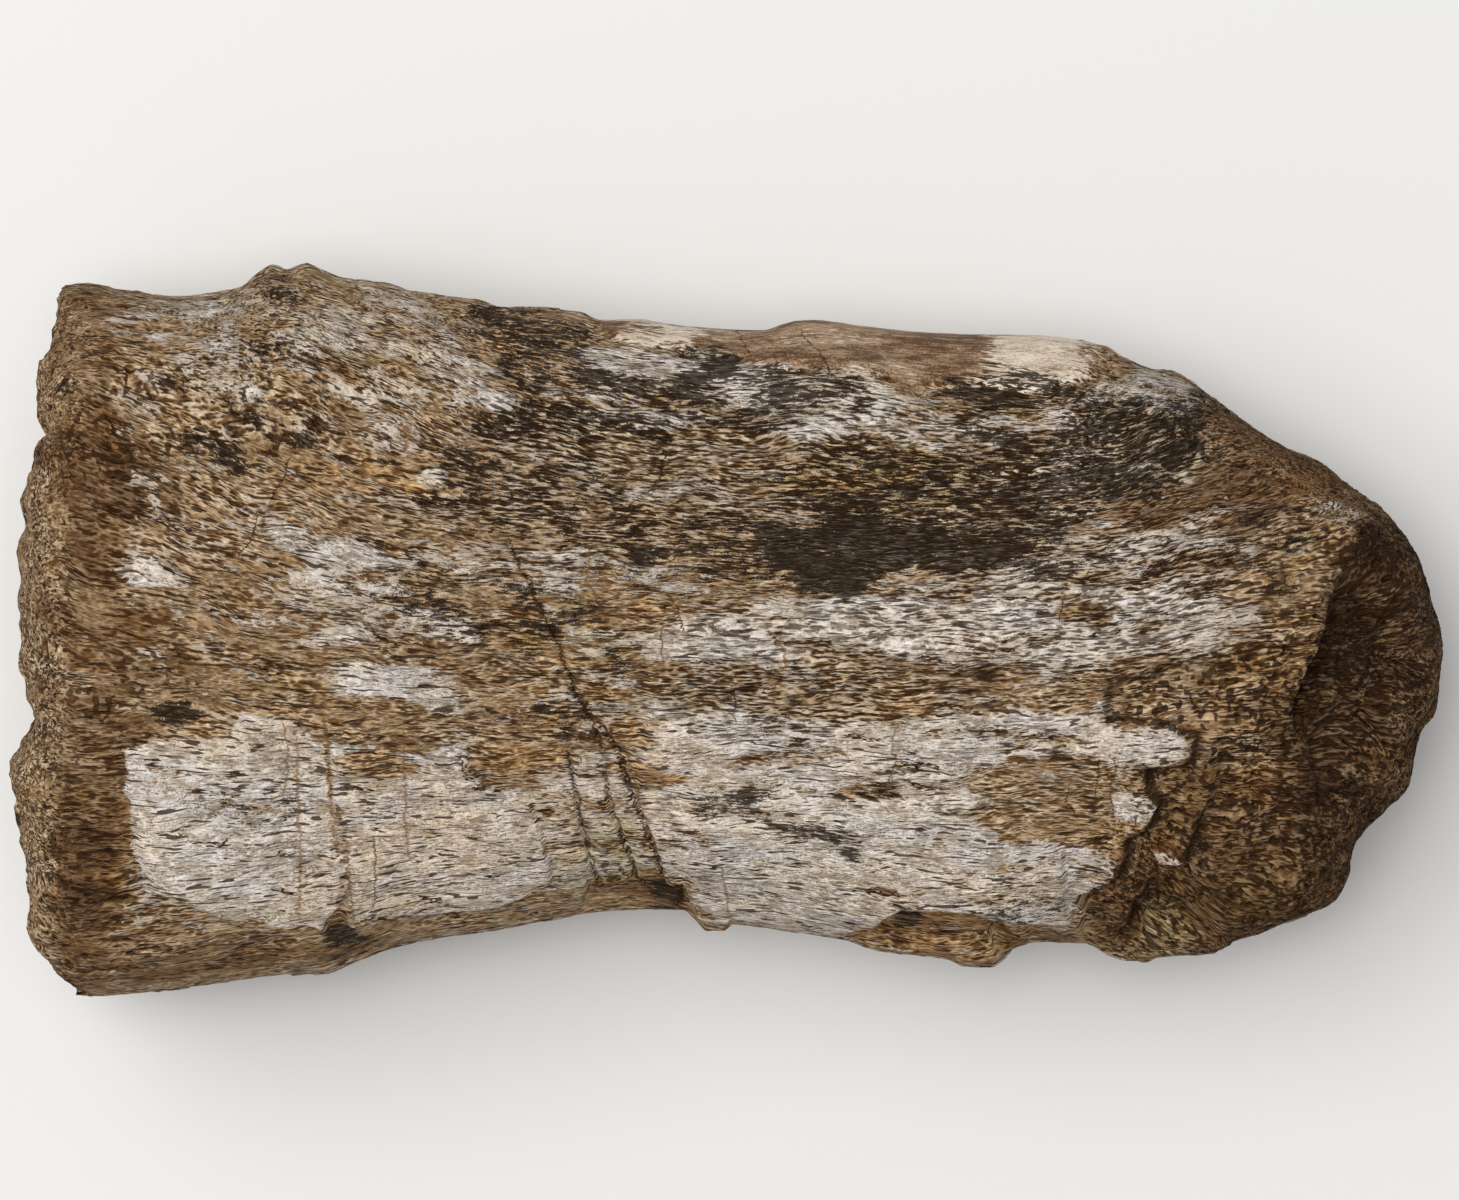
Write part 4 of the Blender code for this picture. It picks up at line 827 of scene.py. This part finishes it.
def makeBone():
    fine, seeds = fineRelief, fineRelief["seeds"]
    faceRings, bodyRings, centre = bareForm()
    grid = np.concatenate([faceRings, bodyRings])
    count, around = grid.shape[:2]
    flat = grid.reshape(-1, 5)
    spots, arc = flat[:, :2], flat[:, 3]
    points = toMetres(flat[:, 0], flat[:, 1], flat[:, 2])
    onFace = np.repeat(np.arange(count) < len(faceRings), around)

    # the even tube that the solid's wear is laid out on
    width = grid[:, :, 1].max(axis=1) - grid[:, :, 1].min(axis=1)
    dome = len(faceRings) + np.searchsorted(bodyRings[:, 0, 0], form["domeColumn"])
    closing = np.where(np.arange(count) < dome, 1, width / width[dome])
    closing[: len(faceRings)] = np.arange(1, form["rings"][1]) / form["rings"][1]
    radius = form["tubeRadius"] * np.repeat(closing, around)
    tube = np.stack([spots[:, 0] * pixel, radius * np.cos(np.pi * arc), radius * np.sin(np.pi * arc)], axis=1)

    grain = grainSpace(*flat.T)
    grain[:, 1] += fine["bend"] * noiseAt(grain, fine["bendSize"], seeds["bend"])
    print("bare form laid out,", len(points), "points")

    raised, sponge, inScar, crevice = mainRelief(spots, np.where(onFace, 0, arc), tube)
    faceWear = layeredNoise(tube[onFace], relief["spongeSize"], 3, relief["seeds"]["face"])
    raised[onFace] = relief["faceLump"] * faceWear
    shown = smoothStep(np.sin(np.pi * arc), 0.02, 0.14) * (arc < 1) * ~onFace
    fields = finishFields(spots, arc, grain, shown, onFace, sponge, inScar)
    small, large = fineForms(spots, arc, grain, fields, inScar)
    print("relief and finishes laid out")

    shaped = points.reshape(count, around, 3)
    along = np.gradient(shaped, axis=0)
    across = np.roll(shaped, -1, axis=1) - np.roll(shaped, 1, axis=1)
    normal = np.cross(along, across).reshape(-1, 3)
    normal /= np.linalg.norm(normal, axis=1)[:, None] + 1e-12
    outward = np.sign(np.sum(normal * (points - points.mean(axis=0)), axis=1).mean())
    points = points + outward * normal * (raised + small + large)[:, None]
    points[:, 2] = np.maximum(points[:, 2], 0)

    tip = (picture["ends"][1], topEdge[-1][1], thickness * crest[-1][1])
    tips = [toMetres(centre[0] + form["faceDish"] / pixel, centre[1], centre[2]), toMetres(*tip)]
    mesh, triangles = bodyMesh(points.reshape(count, around, 3), tips)

    # what the material reads, as values on the points and the two tips
    drift = fine["creamDrift"] * layeredNoise(tube, fine["creamDriftSize"], 2, seeds["cream"])
    drift *= 0.5 + 0.5 * (arc > 1)
    # painted light and shade: the fine relief's height, which the colour uses to darken the sunk places and
    # lighten the raised ones
    fields["hollow"] = np.clip(-small / fine["reliefShadingDepth"], -1, 1)
    fields["scar"] = inScar - 0.5
    # painted shade at the foot of the ledges
    fields["crevice"] = crevice
    fields["cream"] = curveThrough(scarCream, spots[:, 0] + drift) * np.where(arc < 1, 1, 0.6) - 0.5
    for name, values in fields.items():
        values = np.concatenate([values, [values[:around].mean(), values[-around:].mean()]])
        mesh.attributes.new(name, "FLOAT", "POINT").data.foreach_set("value", values.astype(np.float32))
    tipSpots = np.array([(*centre, 0.5, form["faceColumn"]), (*tip, 0.5, tip[0])])
    vectors = {"grain": np.concatenate([grain, grainSpace(*tipSpots.T)])}
    moved = spots + fine["crackWander"] * strays(grain, fine["crackWanderSize"], seeds["crack"])
    for name, lines in zip(crackNames, thinCracks):
        vectors[name] = np.concatenate([crackValues(lines, moved, shown), np.zeros((2, 3))])
    for name, values in vectors.items():
        stored = mesh.attributes.new(name, "FLOAT_VECTOR", "POINT")
        stored.data.foreach_set("vector", values.astype(np.float32).ravel())

    mesh.shade_smooth()
    bone = bpy.data.objects.new("fossilBone", mesh)
    bpy.context.scene.collection.objects.link(bone)
    thin = bone.modifiers.new("Thin", "DECIMATE")
    thin.ratio = form["trianglesKept"] / triangles
    bpy.context.view_layer.objects.active = bone
    bone.select_set(True)
    bpy.ops.object.modifier_apply(modifier=thin.name)
    print("bone thinned to", len(bone.data.polygons), "faces")
    return bone


def place(tree, kind, inputs=None, **settings):
    # adds a node, sets its settings, and links or sets its inputs
    node = tree.nodes.new(kind)
    for name, value in settings.items():
        setattr(node, name, value)
    for name, value in (inputs or {}).items():
        if isinstance(value, bpy.types.NodeSocket):
            tree.links.new(value, node.inputs[name])
        else:
            node.inputs[name].default_value = value
    return node


def calc(tree, operation, a, b=0.0):
    return place(tree, "ShaderNodeMath", {0: a, 1: b}, operation=operation).outputs[0]


def blendColor(tree, factor, a, b, mode="MIX"):
    node = place(tree, "ShaderNodeMix", {0: factor, 6: a, 7: b}, data_type="RGBA", blend_type=mode)
    return node.outputs[2]


def ramp(tree, value, low, high, toLow=0.0, toHigh=1.0):
    inputs = {"Value": value, "From Min": low, "From Max": high, "To Min": toLow, "To Max": toHigh}
    return place(tree, "ShaderNodeMapRange", inputs, interpolation_type="SMOOTHSTEP").outputs[0]


def toneRamp(tree, value, tones):
    node = place(tree, "ShaderNodeValToRGB", {0: value})
    stops = node.color_ramp.elements
    while len(stops) < len(tones):
        stops.new(0.5)
    for stop, (at, color) in zip(stops, tones):
        stop.position = at
        stop.color = (*color, 1)
    return node.outputs[0]


def newGroup(name, inputs, outputs):
    tree = bpy.data.node_groups.new(name, "ShaderNodeTree")
    for label, kind, value in inputs:
        socket = tree.interface.new_socket(label, in_out="INPUT", socket_type=kind)
        if value is not None:
            socket.default_value = value
    for label, kind in outputs:
        tree.interface.new_socket(label, in_out="OUTPUT", socket_type=kind)
    return tree, tree.nodes.new("NodeGroupInput").outputs, tree.nodes.new("NodeGroupOutput").inputs


def scaledGrain(tree, given):
    # the grain in units of the wanted length and width
    size = place(tree, "ShaderNodeCombineXYZ", {0: given["Length"], 1: given["Width"], 2: given["Width"]})
    shift = place(tree, "ShaderNodeCombineXYZ", {0: given["Shift"], 1: given["Shift"], 2: given["Shift"]})
    value = given["Grain"]
    for operation, other in (("DIVIDE", size), ("ADD", shift)):
        node = place(tree, "ShaderNodeVectorMath", {0: value, 1: other.outputs[0]}, operation=operation)
        value = node.outputs[0]
    return value


grainInputs = [
    ("Grain", "NodeSocketVector", None), ("Length", "NodeSocketFloat", 2.0),
    ("Width", "NodeSocketFloat", 0.4), ("Shift", "NodeSocketFloat", 0.0),
]
noiseSpan = (0.27, 0.73)      # nearly all of Blender's noise lies between these
groupShape = {
    "slitSoftness": 0.06,
    "chipRagged": (0.7, 0.9),     # how far the noise moves a chip's ends and its sides, in chips
    "chipCourse": 0.618,          # how far each row of chips is shifted along the last one
    # from the middle of a crack out, where its core and its stain end and are whole, in widths
    "crackCore": (0.75, 0.2), "crackHalo": (1.7, 0.6),
    "crackFade": (0.15, 0.6), "rustlessCore": 1.15, "rustOverCore": 0.75,
}


def grainNoiseGroup():
    # soft streaks along the grain, spread from 0 to 1
    inputs = grainInputs + [("Detail", "NodeSocketFloat", 2.0)]
    tree, given, out = newGroup("grainNoise", inputs, [("Value", "NodeSocketFloat")])
    inputs = {"Vector": scaledGrain(tree, given), "Scale": 1.0, "Detail": given["Detail"], "Roughness": 0.6}
    noise = place(tree, "ShaderNodeTexNoise", inputs)
    tree.links.new(ramp(tree, noise.outputs[0], *noiseSpan), out["Value"])
    return tree


def raggedMaskGroup():
    # 1 where the field is above 0, with an edge that the noise breaks up
    inputs = [
        ("Field", "NodeSocketFloat", 0.0), ("Noise", "NodeSocketFloat", 0.5),
        ("Reach", "NodeSocketFloat", 0.3), ("Softness", "NodeSocketFloat", 0.05),
    ]
    tree, given, out = newGroup("raggedMask", inputs, [("Mask", "NodeSocketFloat")])
    push = calc(tree, "MULTIPLY", calc(tree, "SUBTRACT", given["Noise"], 0.5), given["Reach"])
    field = calc(tree, "ADD", given["Field"], push)
    low = calc(tree, "MULTIPLY", given["Softness"], -1.0)
    tree.links.new(ramp(tree, field, low, given["Softness"]), out["Mask"])
    return tree


def slitsGroup():
    # thin dark openings along the grain
    inputs = grainInputs + [("Amount", "NodeSocketFloat", 0.15)]
    tree, given, out = newGroup("slits", inputs, [("Mask", "NodeSocketFloat")])
    inputs = {"Vector": scaledGrain(tree, given), "Scale": 1.0, "Detail": 0.0}
    noise = place(tree, "ShaderNodeTexNoise", inputs)
    value = ramp(tree, noise.outputs[0], *noiseSpan)
    low = calc(tree, "SUBTRACT", 1.0, given["Amount"])
    high = calc(tree, "ADD", low, groupShape["slitSoftness"])
    tree.links.new(ramp(tree, value, low, high), out["Mask"])
    return tree


def chipsGroup():
    # small long chips with ragged sides, each with its own value
    inputs = grainInputs + [("Ragged", "NodeSocketFloat", 0.5)]
    tree, given, out = newGroup("chips", inputs, [("Value", "NodeSocketFloat")])
    parts = place(tree, "ShaderNodeSeparateXYZ", {0: scaledGrain(tree, given)}).outputs
    raggedEnds, raggedSides = (
        calc(tree, "MULTIPLY", given["Ragged"], reach) for reach in groupShape["chipRagged"]
    )
    across = calc(tree, "ADD", parts[1], raggedSides)
    course = calc(tree, "ADD", calc(tree, "FLOOR", across), calc(tree, "FLOOR", parts[2]))
    along = calc(tree, "ADD", parts[0], calc(tree, "MULTIPLY", course, groupShape["chipCourse"]))
    along = calc(tree, "ADD", along, raggedEnds)
    spot = place(tree, "ShaderNodeCombineXYZ", {0: along, 1: across, 2: parts[2]})
    cell = place(tree, "ShaderNodeVectorMath", {0: spot.outputs[0]}, operation="FLOOR")
    value = place(tree, "ShaderNodeTexWhiteNoise", {"Vector": cell.outputs[0]}, noise_dimensions="3D")
    tree.links.new(value.outputs["Value"], out["Value"])
    return tree


def crackLineGroup():
    # a fine wandering line where the side value passes 0, and a stained zone beside it
    inputs = [
        ("Line", "NodeSocketVector", None), ("Noise", "NodeSocketFloat", 0.5),
        ("Wander", "NodeSocketFloat", 1.0),
    ]
    outputs = [("Core", "NodeSocketFloat"), ("Halo", "NodeSocketFloat")]
    tree, given, out = newGroup("crackLine", inputs, outputs)
    parts = place(tree, "ShaderNodeSeparateXYZ", {0: given["Line"]}).outputs
    push = calc(tree, "MULTIPLY", calc(tree, "SUBTRACT", given["Noise"], 0.5), given["Wander"])
    away = calc(tree, "ABSOLUTE", calc(tree, "ADD", parts[0], push))
    near = ramp(tree, parts[1], *groupShape["crackFade"])
    rusty = calc(tree, "MULTIPLY", parts[2], groupShape["rustOverCore"])
    core = calc(tree, "MULTIPLY", ramp(tree, away, *groupShape["crackCore"]), near)
    core = calc(tree, "MULTIPLY", core, calc(tree, "SUBTRACT", groupShape["rustlessCore"], rusty))
    halo = calc(tree, "MULTIPLY", ramp(tree, away, *groupShape["crackHalo"]), near)
    tree.links.new(core, out["Core"])
    tree.links.new(calc(tree, "MULTIPLY", halo, parts[2]), out["Halo"])
    return tree


groups = {
    "grainNoise": grainNoiseGroup(), "raggedMask": raggedMaskGroup(), "slits": slitsGroup(),
    "chips": chipsGroup(), "crackLine": crackLineGroup(),
}
print("node groups made")


def use(tree, name, inputs):
    return place(tree, "ShaderNodeGroup", inputs, node_tree=groups[name]).outputs


boneFinish = {
    # colours are linear, from dark to light where there are several
    "bone": [(0.24, (0.122, 0.058, 0.022)), (0.38, (0.242, 0.136, 0.062)), (0.50, (0.405, 0.266, 0.145)),
             (0.62, (0.570, 0.410, 0.252)), (0.76, (0.735, 0.580, 0.400))],
    "skin": [(0.24, (0.240, 0.180, 0.128)), (0.38, (0.470, 0.394, 0.318)), (0.50, (0.640, 0.560, 0.482)),
             (0.64, (0.745, 0.670, 0.598)), (0.80, (0.850, 0.785, 0.712))],
    "scarBrown": [(0.32, (0.110, 0.055, 0.026)), (0.50, (0.245, 0.150, 0.086)),
                  (0.68, (0.440, 0.310, 0.200))],
    "scarCream": [(0.30, (0.420, 0.310, 0.210)), (0.50, (0.690, 0.575, 0.455)),
                  (0.70, (0.820, 0.720, 0.600))],
    "stain": [(0.25, (0.014, 0.010, 0.007)), (0.55, (0.032, 0.024, 0.017)),
              (0.80, (0.120, 0.092, 0.066))],
    "wornSkin": (0.350, 0.268, 0.190),
    # painted highlights on the raised fibres, on bare bone and on the skin
    "frayHighlight": (0.730, 0.610, 0.465),
    "paleFrayHighlight": (0.860, 0.800, 0.725),
    "brownTint": (0.52, 0.44, 0.37),
    # the darkest brown, partly painted shade over the end dome and its groove
    "umberAndShadeTint": (0.28, 0.23, 0.21),
    "ochreTint": (1.07, 0.94, 0.75),
    "oliveTint": (0.86, 0.87, 0.66),
    "coolTint": (0.955, 0.985, 1.05),
    "warmTint": (1.03, 0.985, 0.92),
    "rust": (0.400, 0.225, 0.100),
    # colour of the slits, pores and cracks, and of the painted shade between the fibres, in the sunk fine
    # relief and at the foot of the ledges
    "dark": (0.036, 0.016, 0.006),
    # streaks along the grain: length and width in millimetres, shift and detail
    "streaks": {
        "fibre": (2.0, 0.38, 3.7, 1.0), "thread": (0.95, 0.19, 11.3, 0.0), "grit": (0.30, 0.24, 23.1, 1.0),
        "broad": (16.0, 6.0, 31.9, 1.0), "patch": (5.0, 1.4, 47.3, 1.0), "lively": (9.0, 3.6, 83.1, 1.0),
        "worn": (2.6, 1.3, 71.3, 1.0), "pore": (0.95, 0.75, 2.2, 0.0),
    },
    "chips": {"Length": 1.9, "Width": 0.75, "Shift": 61.7},
    "slits": {"Length": 3.0, "Width": 0.30, "Shift": 5.5},
    # what each tone or mask is mixed from
    "shares": {
        # the bone and skin tones take painted light and shade from the fine relief: darker where it is sunk,
        # lighter where it is raised
        "bone": {"fibre": 0.44, "thread": 0.34, "patch": 0.10, "chip": 0.12, "hollow": -0.14},
        "skin": {"thread": 0.32, "grit": 0.34, "chip": 0.16, "patch": 0.24, "hollow": -0.08},
        "scar": {"broad": 0.24, "grit": 0.26, "patch": 0.26, "fibre": 0.24},
        "chipped": {"chip": 0.5, "thread": 0.5},
        "cream": {"broad": 0.5, "fibre": 0.5},
        "stain": {"grit": 0.25, "thread": 0.35, "dip": 0.40},
    },
    # how far the noise moves the edge of each finish, and how soft that edge is
    "edges": {
        "brown": (0.4, 0.30), "ochre": (0.4, 0.25), "skin": (0.75, 0.06), "cream": (1.1, 0.14),
        "scar": (0.5, 0.12), "olive": (0.5, 0.3), "stain": (1.7, 0.10), "sponge": (0.4, 0.2),
    },
    # from, to, and what these become where that isn't 0 and 1
    "ramps": {
        "lively": (0.25, 0.75, 0.55, 1.15), "loose": (-0.35, 0.35), "lightEdge": (0.58, 0.84, 0.0, 0.70),
        "umber": (0.35, 1.35), "worn": (0.55, 0.90, 0.0, 0.60), "thin": (0.42, -0.05, 0.0, 0.62),
        "gap": (0.42, 0.20), "crowd": (0.35, 0.85, 0.03, 0.23), "pore": (0.76, 0.88),
        "hollow": (0.5, 1.1, 0.0, 0.85), "crevice": (0.18, 0.55), "halo": (0.15, 0.70, 0.15, 0.85),
    },
    "amounts": {"skinOchre": 0.45, "olive": 0.8, "stain": 0.94, "slit": 0.90, "gap": 0.80, "pore": 0.88,
                "deep": 0.90, "crack": 0.94},
    "crackWander": 1.4,
    "roughness": (0.86, 0.74, 0.60),    # bone, skin and scar
    "roughnessSpread": 0.12,
    "specular": 0.08,
    # how far the thread noise moves the edge of the painted shade at the foot of the ledges
    "ledgeShadeRagged": 0.6,
    "bumpHeight": 0.00042,              # in metres
    # shares of the bump's height, and how much of it the skin and the arch's base cover
    "bump": {"fibre": 0.7, "loose": 0.9, "thread": 0.6, "chip": 0.4, "skin": 0.9},
    "bumpCovered": (0.5, 0.75),
}


def boneMaterial():
    look = boneFinish
    material = bpy.data.materials.new("weatheredFossilBone")
    material.use_nodes = True
    tree = material.node_tree
    shader = tree.nodes["Principled BSDF"]
    values = {}

    def read(name, output="Fac"):
        return place(tree, "ShaderNodeAttribute", attribute_name=name).outputs[output]

    def times(a, b):
        return calc(tree, "MULTIPLY", a, b)

    def lessThanOne(value):
        return calc(tree, "SUBTRACT", 1.0, value)

    def ramped(name, value):
        return ramp(tree, value, *look["ramps"][name])

    def mixed(name):
        parts = [times(values[part], share) for part, share in look["shares"][name].items()]
        total = parts[0]
        for part in parts[1:]:
            total = calc(tree, "ADD", total, part)
        return total

    def mask(name, noise):
        reach, softness = look["edges"][name]
        inputs = {"Field": read(name), "Noise": noise, "Reach": reach, "Softness": softness}
        return use(tree, "raggedMask", inputs)["Mask"]

    def covered(color, amount, name):
        return blendColor(tree, amount, color, (*look[name], 1))

    def tinted(color, amount, name):
        return blendColor(tree, amount, color, blendColor(tree, 1.0, color, (*look[name], 1), "MULTIPLY"))

    grain = read("grain", "Vector")
    for name, (length, width, shift, detail) in look["streaks"].items():
        inputs = {"Grain": grain, "Length": length, "Width": width, "Shift": shift, "Detail": detail}
        values[name] = use(tree, "grainNoise", inputs)["Value"]
    fibre, thread, grit, broad = (values[name] for name in ("fibre", "thread", "grit", "broad"))
    chip = use(tree, "chips", {"Grain": grain, "Ragged": thread, **look["chips"]})["Value"]
    hollow = read("hollow")
    values.update({"chip": chip, "hollow": hollow, "dip": lessThanOne(fibre)})

    # bare bone, lively in some places and calm in others, with painted highlights on the raised fibres where
    # they stand apart
    lively = ramped("lively", values["lively"])
    tone = calc(tree, "ADD", 0.5, times(calc(tree, "SUBTRACT", mixed("bone"), 0.5), lively))
    loose = ramped("loose", read("frayed"))
    # painted highlight on the tops of the fibres, where the bump is highest
    lightEdge = times(ramped("lightEdge", fibre), times(loose, lively))
    bone = covered(toneRamp(tree, tone, look["bone"]), lightEdge, "frayHighlight")
    bone = tinted(bone, mask("brown", fibre), "brownTint")
    # the darkest brown, which over the end dome and its groove is partly painted shade
    bone = tinted(bone, ramped("umber", read("brown")), "umberAndShadeTint")
    ochre = mask("ochre", thread)
    bone = tinted(bone, ochre, "ochreTint")

    # pale skin, with painted highlights on its raised fibres, which comes off in small chips and is worn
    # where it is thin
    skin = covered(toneRamp(tree, mixed("skin"), look["skin"]), lightEdge, "paleFrayHighlight")
    tint = blendColor(tree, broad, (*look["coolTint"], 1), (*look["warmTint"], 1))
    skin = blendColor(tree, 1.0, skin, tint, "MULTIPLY")
    worn = calc(tree, "MAXIMUM", ramped("worn", values["worn"]), ramped("thin", read("skin")))
    skin = covered(skin, worn, "wornSkin")
    skin = tinted(skin, times(ochre, look["amounts"]["skinOchre"]), "ochreTint")
    skinMask = mask("skin", mixed("chipped"))
    color = blendColor(tree, skinMask, bone, skin)

    # the arch's broken base
    scarTone = mixed("scar")
    scarBrown, scarCream = (toneRamp(tree, scarTone, look[name]) for name in ("scarBrown", "scarCream"))
    scar = blendColor(tree, mask("cream", mixed("cream")), scarBrown, scarCream)
    scarMask = mask("scar", fibre)
    color = blendColor(tree, scarMask, color, scar)

    # greenish tinge, and black stain with a spot of painted shade
    color = tinted(color, times(mask("olive", grit), look["amounts"]["olive"]), "oliveTint")
    stainAndShadeMask = times(mask("stain", mixed("stain")), look["amounts"]["stain"])
    color = blendColor(tree, stainAndShadeMask, color, toneRamp(tree, tone, look["stain"]))

    # slits and pores, and painted shade in the gaps between the fibres, in the sunk fine relief and at the
    # foot of the ledges
    slitInputs = {"Grain": grain, "Amount": ramped("crowd", values["patch"]), **look["slits"]}
    slit = times(use(tree, "slits", slitInputs)["Mask"], lessThanOne(scarMask))
    # painted shade in the dips between the fibres where they stand apart
    gap = times(ramped("gap", fibre), loose)
    pore = times(ramped("pore", values["pore"]), mask("sponge", fibre))
    # painted shade at the foot of the ledges, with a ragged edge
    ragged = times(calc(tree, "SUBTRACT", thread, 0.5), look["ledgeShadeRagged"])
    ledgeShadeField = calc(tree, "ADD", read("crevice"), ragged)
    # painted shade in the most sunk fine relief and at the foot of the ledges
    deep = calc(tree, "MAXIMUM", ramped("hollow", hollow), ramped("crevice", ledgeShadeField))
    slit, gap, pore, deep = (
        times(value, look["amounts"][name])
        for name, value in (("slit", slit), ("gap", gap), ("pore", pore), ("deep", deep))
    )
    for shade in (calc(tree, "MAXIMUM", slit, gap), pore, deep):
        color = covered(color, shade, "dark")

    # rusty and dark cracks
    core = 0.0
    for name in crackNames:
        inputs = {"Line": read(name, "Vector"), "Noise": thread, "Wander": look["crackWander"]}
        line = use(tree, "crackLine", inputs)
        color = covered(color, times(line["Halo"], ramped("halo", fibre)), "rust")
        core = calc(tree, "MAXIMUM", core, line["Core"])
    color = covered(color, times(core, look["amounts"]["crack"]), "dark")
    tree.links.new(color, shader.inputs["Base Color"])

    roughBone, roughSkin, roughScar = look["roughness"]
    rough = calc(tree, "SUBTRACT", roughBone, times(skinMask, roughBone - roughSkin))
    rough = calc(tree, "SUBTRACT", rough, times(scarMask, roughBone - roughScar))
    rough = calc(tree, "ADD", rough, times(calc(tree, "SUBTRACT", grit, 0.5), look["roughnessSpread"]))
    tree.links.new(rough, shader.inputs["Roughness"])
    shader.inputs["Specular IOR Level"].default_value = look["specular"]

    shares = look["bump"]
    underSkin, underScar = look["bumpCovered"]
    bareness = times(lessThanOne(times(skinMask, underSkin)), lessThanOne(times(scarMask, underScar)))
    height = times(fibre, calc(tree, "ADD", shares["fibre"], times(loose, shares["loose"])))
    height = calc(tree, "ADD", height, times(thread, shares["thread"]))
    height = calc(tree, "ADD", height, times(chip, shares["chip"]))
    height = calc(tree, "ADD", times(height, bareness), times(skinMask, shares["skin"]))
    bump = place(tree, "ShaderNodeBump", {"Strength": 1.0, "Distance": look["bumpHeight"], "Height": height})
    tree.links.new(bump.outputs[0], shader.inputs["Normal"])
    print("bone material made,", len(tree.nodes), "nodes")
    return material


bone = makeBone()
bone.data.materials.append(boneMaterial())
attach(bone, "root")
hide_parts("vertebra")

studio = {
    "floorSize": 8.0,
    "floorColor": (0.80, 0.795, 0.785), "floorRoughness": 0.9, "floorSpecular": 0.1,
    "lights": [                   # name, place, width, power and colour
        ("key", (-0.52, 0.24, 1.43), 1.2, 14.5, (1.0, 0.985, 0.96)),
        ("top", (-0.06, 0.02, 1.50), 0.5, 6.5, (1.0, 0.99, 0.975)),
    ],
    "worldColor": (0.98, 0.99, 1.0), "worldStrength": 0.34,
}


def makeFloor():
    half = studio["floorSize"] / 2
    mesh = bpy.data.meshes.new("floor")
    corners = [(-half, -half, 0), (half, -half, 0), (half, half, 0), (-half, half, 0)]
    mesh.from_pydata(corners, [], [(0, 1, 2, 3)])
    floor = bpy.data.objects.new("floor", mesh)
    bpy.context.scene.collection.objects.link(floor)
    material = bpy.data.materials.new("palePaper")
    material.use_nodes = True
    shader = material.node_tree.nodes["Principled BSDF"]
    shader.inputs["Base Color"].default_value = (*studio["floorColor"], 1)
    shader.inputs["Roughness"].default_value = studio["floorRoughness"]
    shader.inputs["Specular IOR Level"].default_value = studio["floorSpecular"]
    mesh.materials.append(material)


def makeLights():
    for name, spot, width, power, color in studio["lights"]:
        light = bpy.data.lights.new(name, "AREA")
        light.shape = "DISK"
        light.size = width
        light.energy = power
        light.color = color
        lamp = bpy.data.objects.new(name, light)
        lamp.location = spot
        lamp.rotation_euler = lamp.location.to_track_quat("Z", "Y").to_euler()
        bpy.context.scene.collection.objects.link(lamp)
    world = bpy.data.worlds.new("studio")
    world.use_nodes = True
    background = world.node_tree.nodes["Background"]
    background.inputs["Color"].default_value = (*studio["worldColor"], 1)
    background.inputs["Strength"].default_value = studio["worldStrength"]
    bpy.context.scene.world = world


def makeCamera():
    data = bpy.data.cameras.new("camera")
    data.sensor_width = 36.0
    data.lens = data.sensor_width * picture["sightHeight"] / (picture["width"] * pixel)
    camera = bpy.data.objects.new("camera", data)
    eye = (np.array(picture["eye"]) - picture["origin"]) * pixel
    camera.location = (eye[0], -eye[1], thickness * picture["widestLevel"] + picture["sightHeight"])
    bpy.context.scene.collection.objects.link(camera)
    bpy.context.scene.camera = camera
    bpy.context.scene.view_settings.view_transform = "Standard"


makeFloor()
makeLights()
makeCamera()
print("floor, light and camera placed")
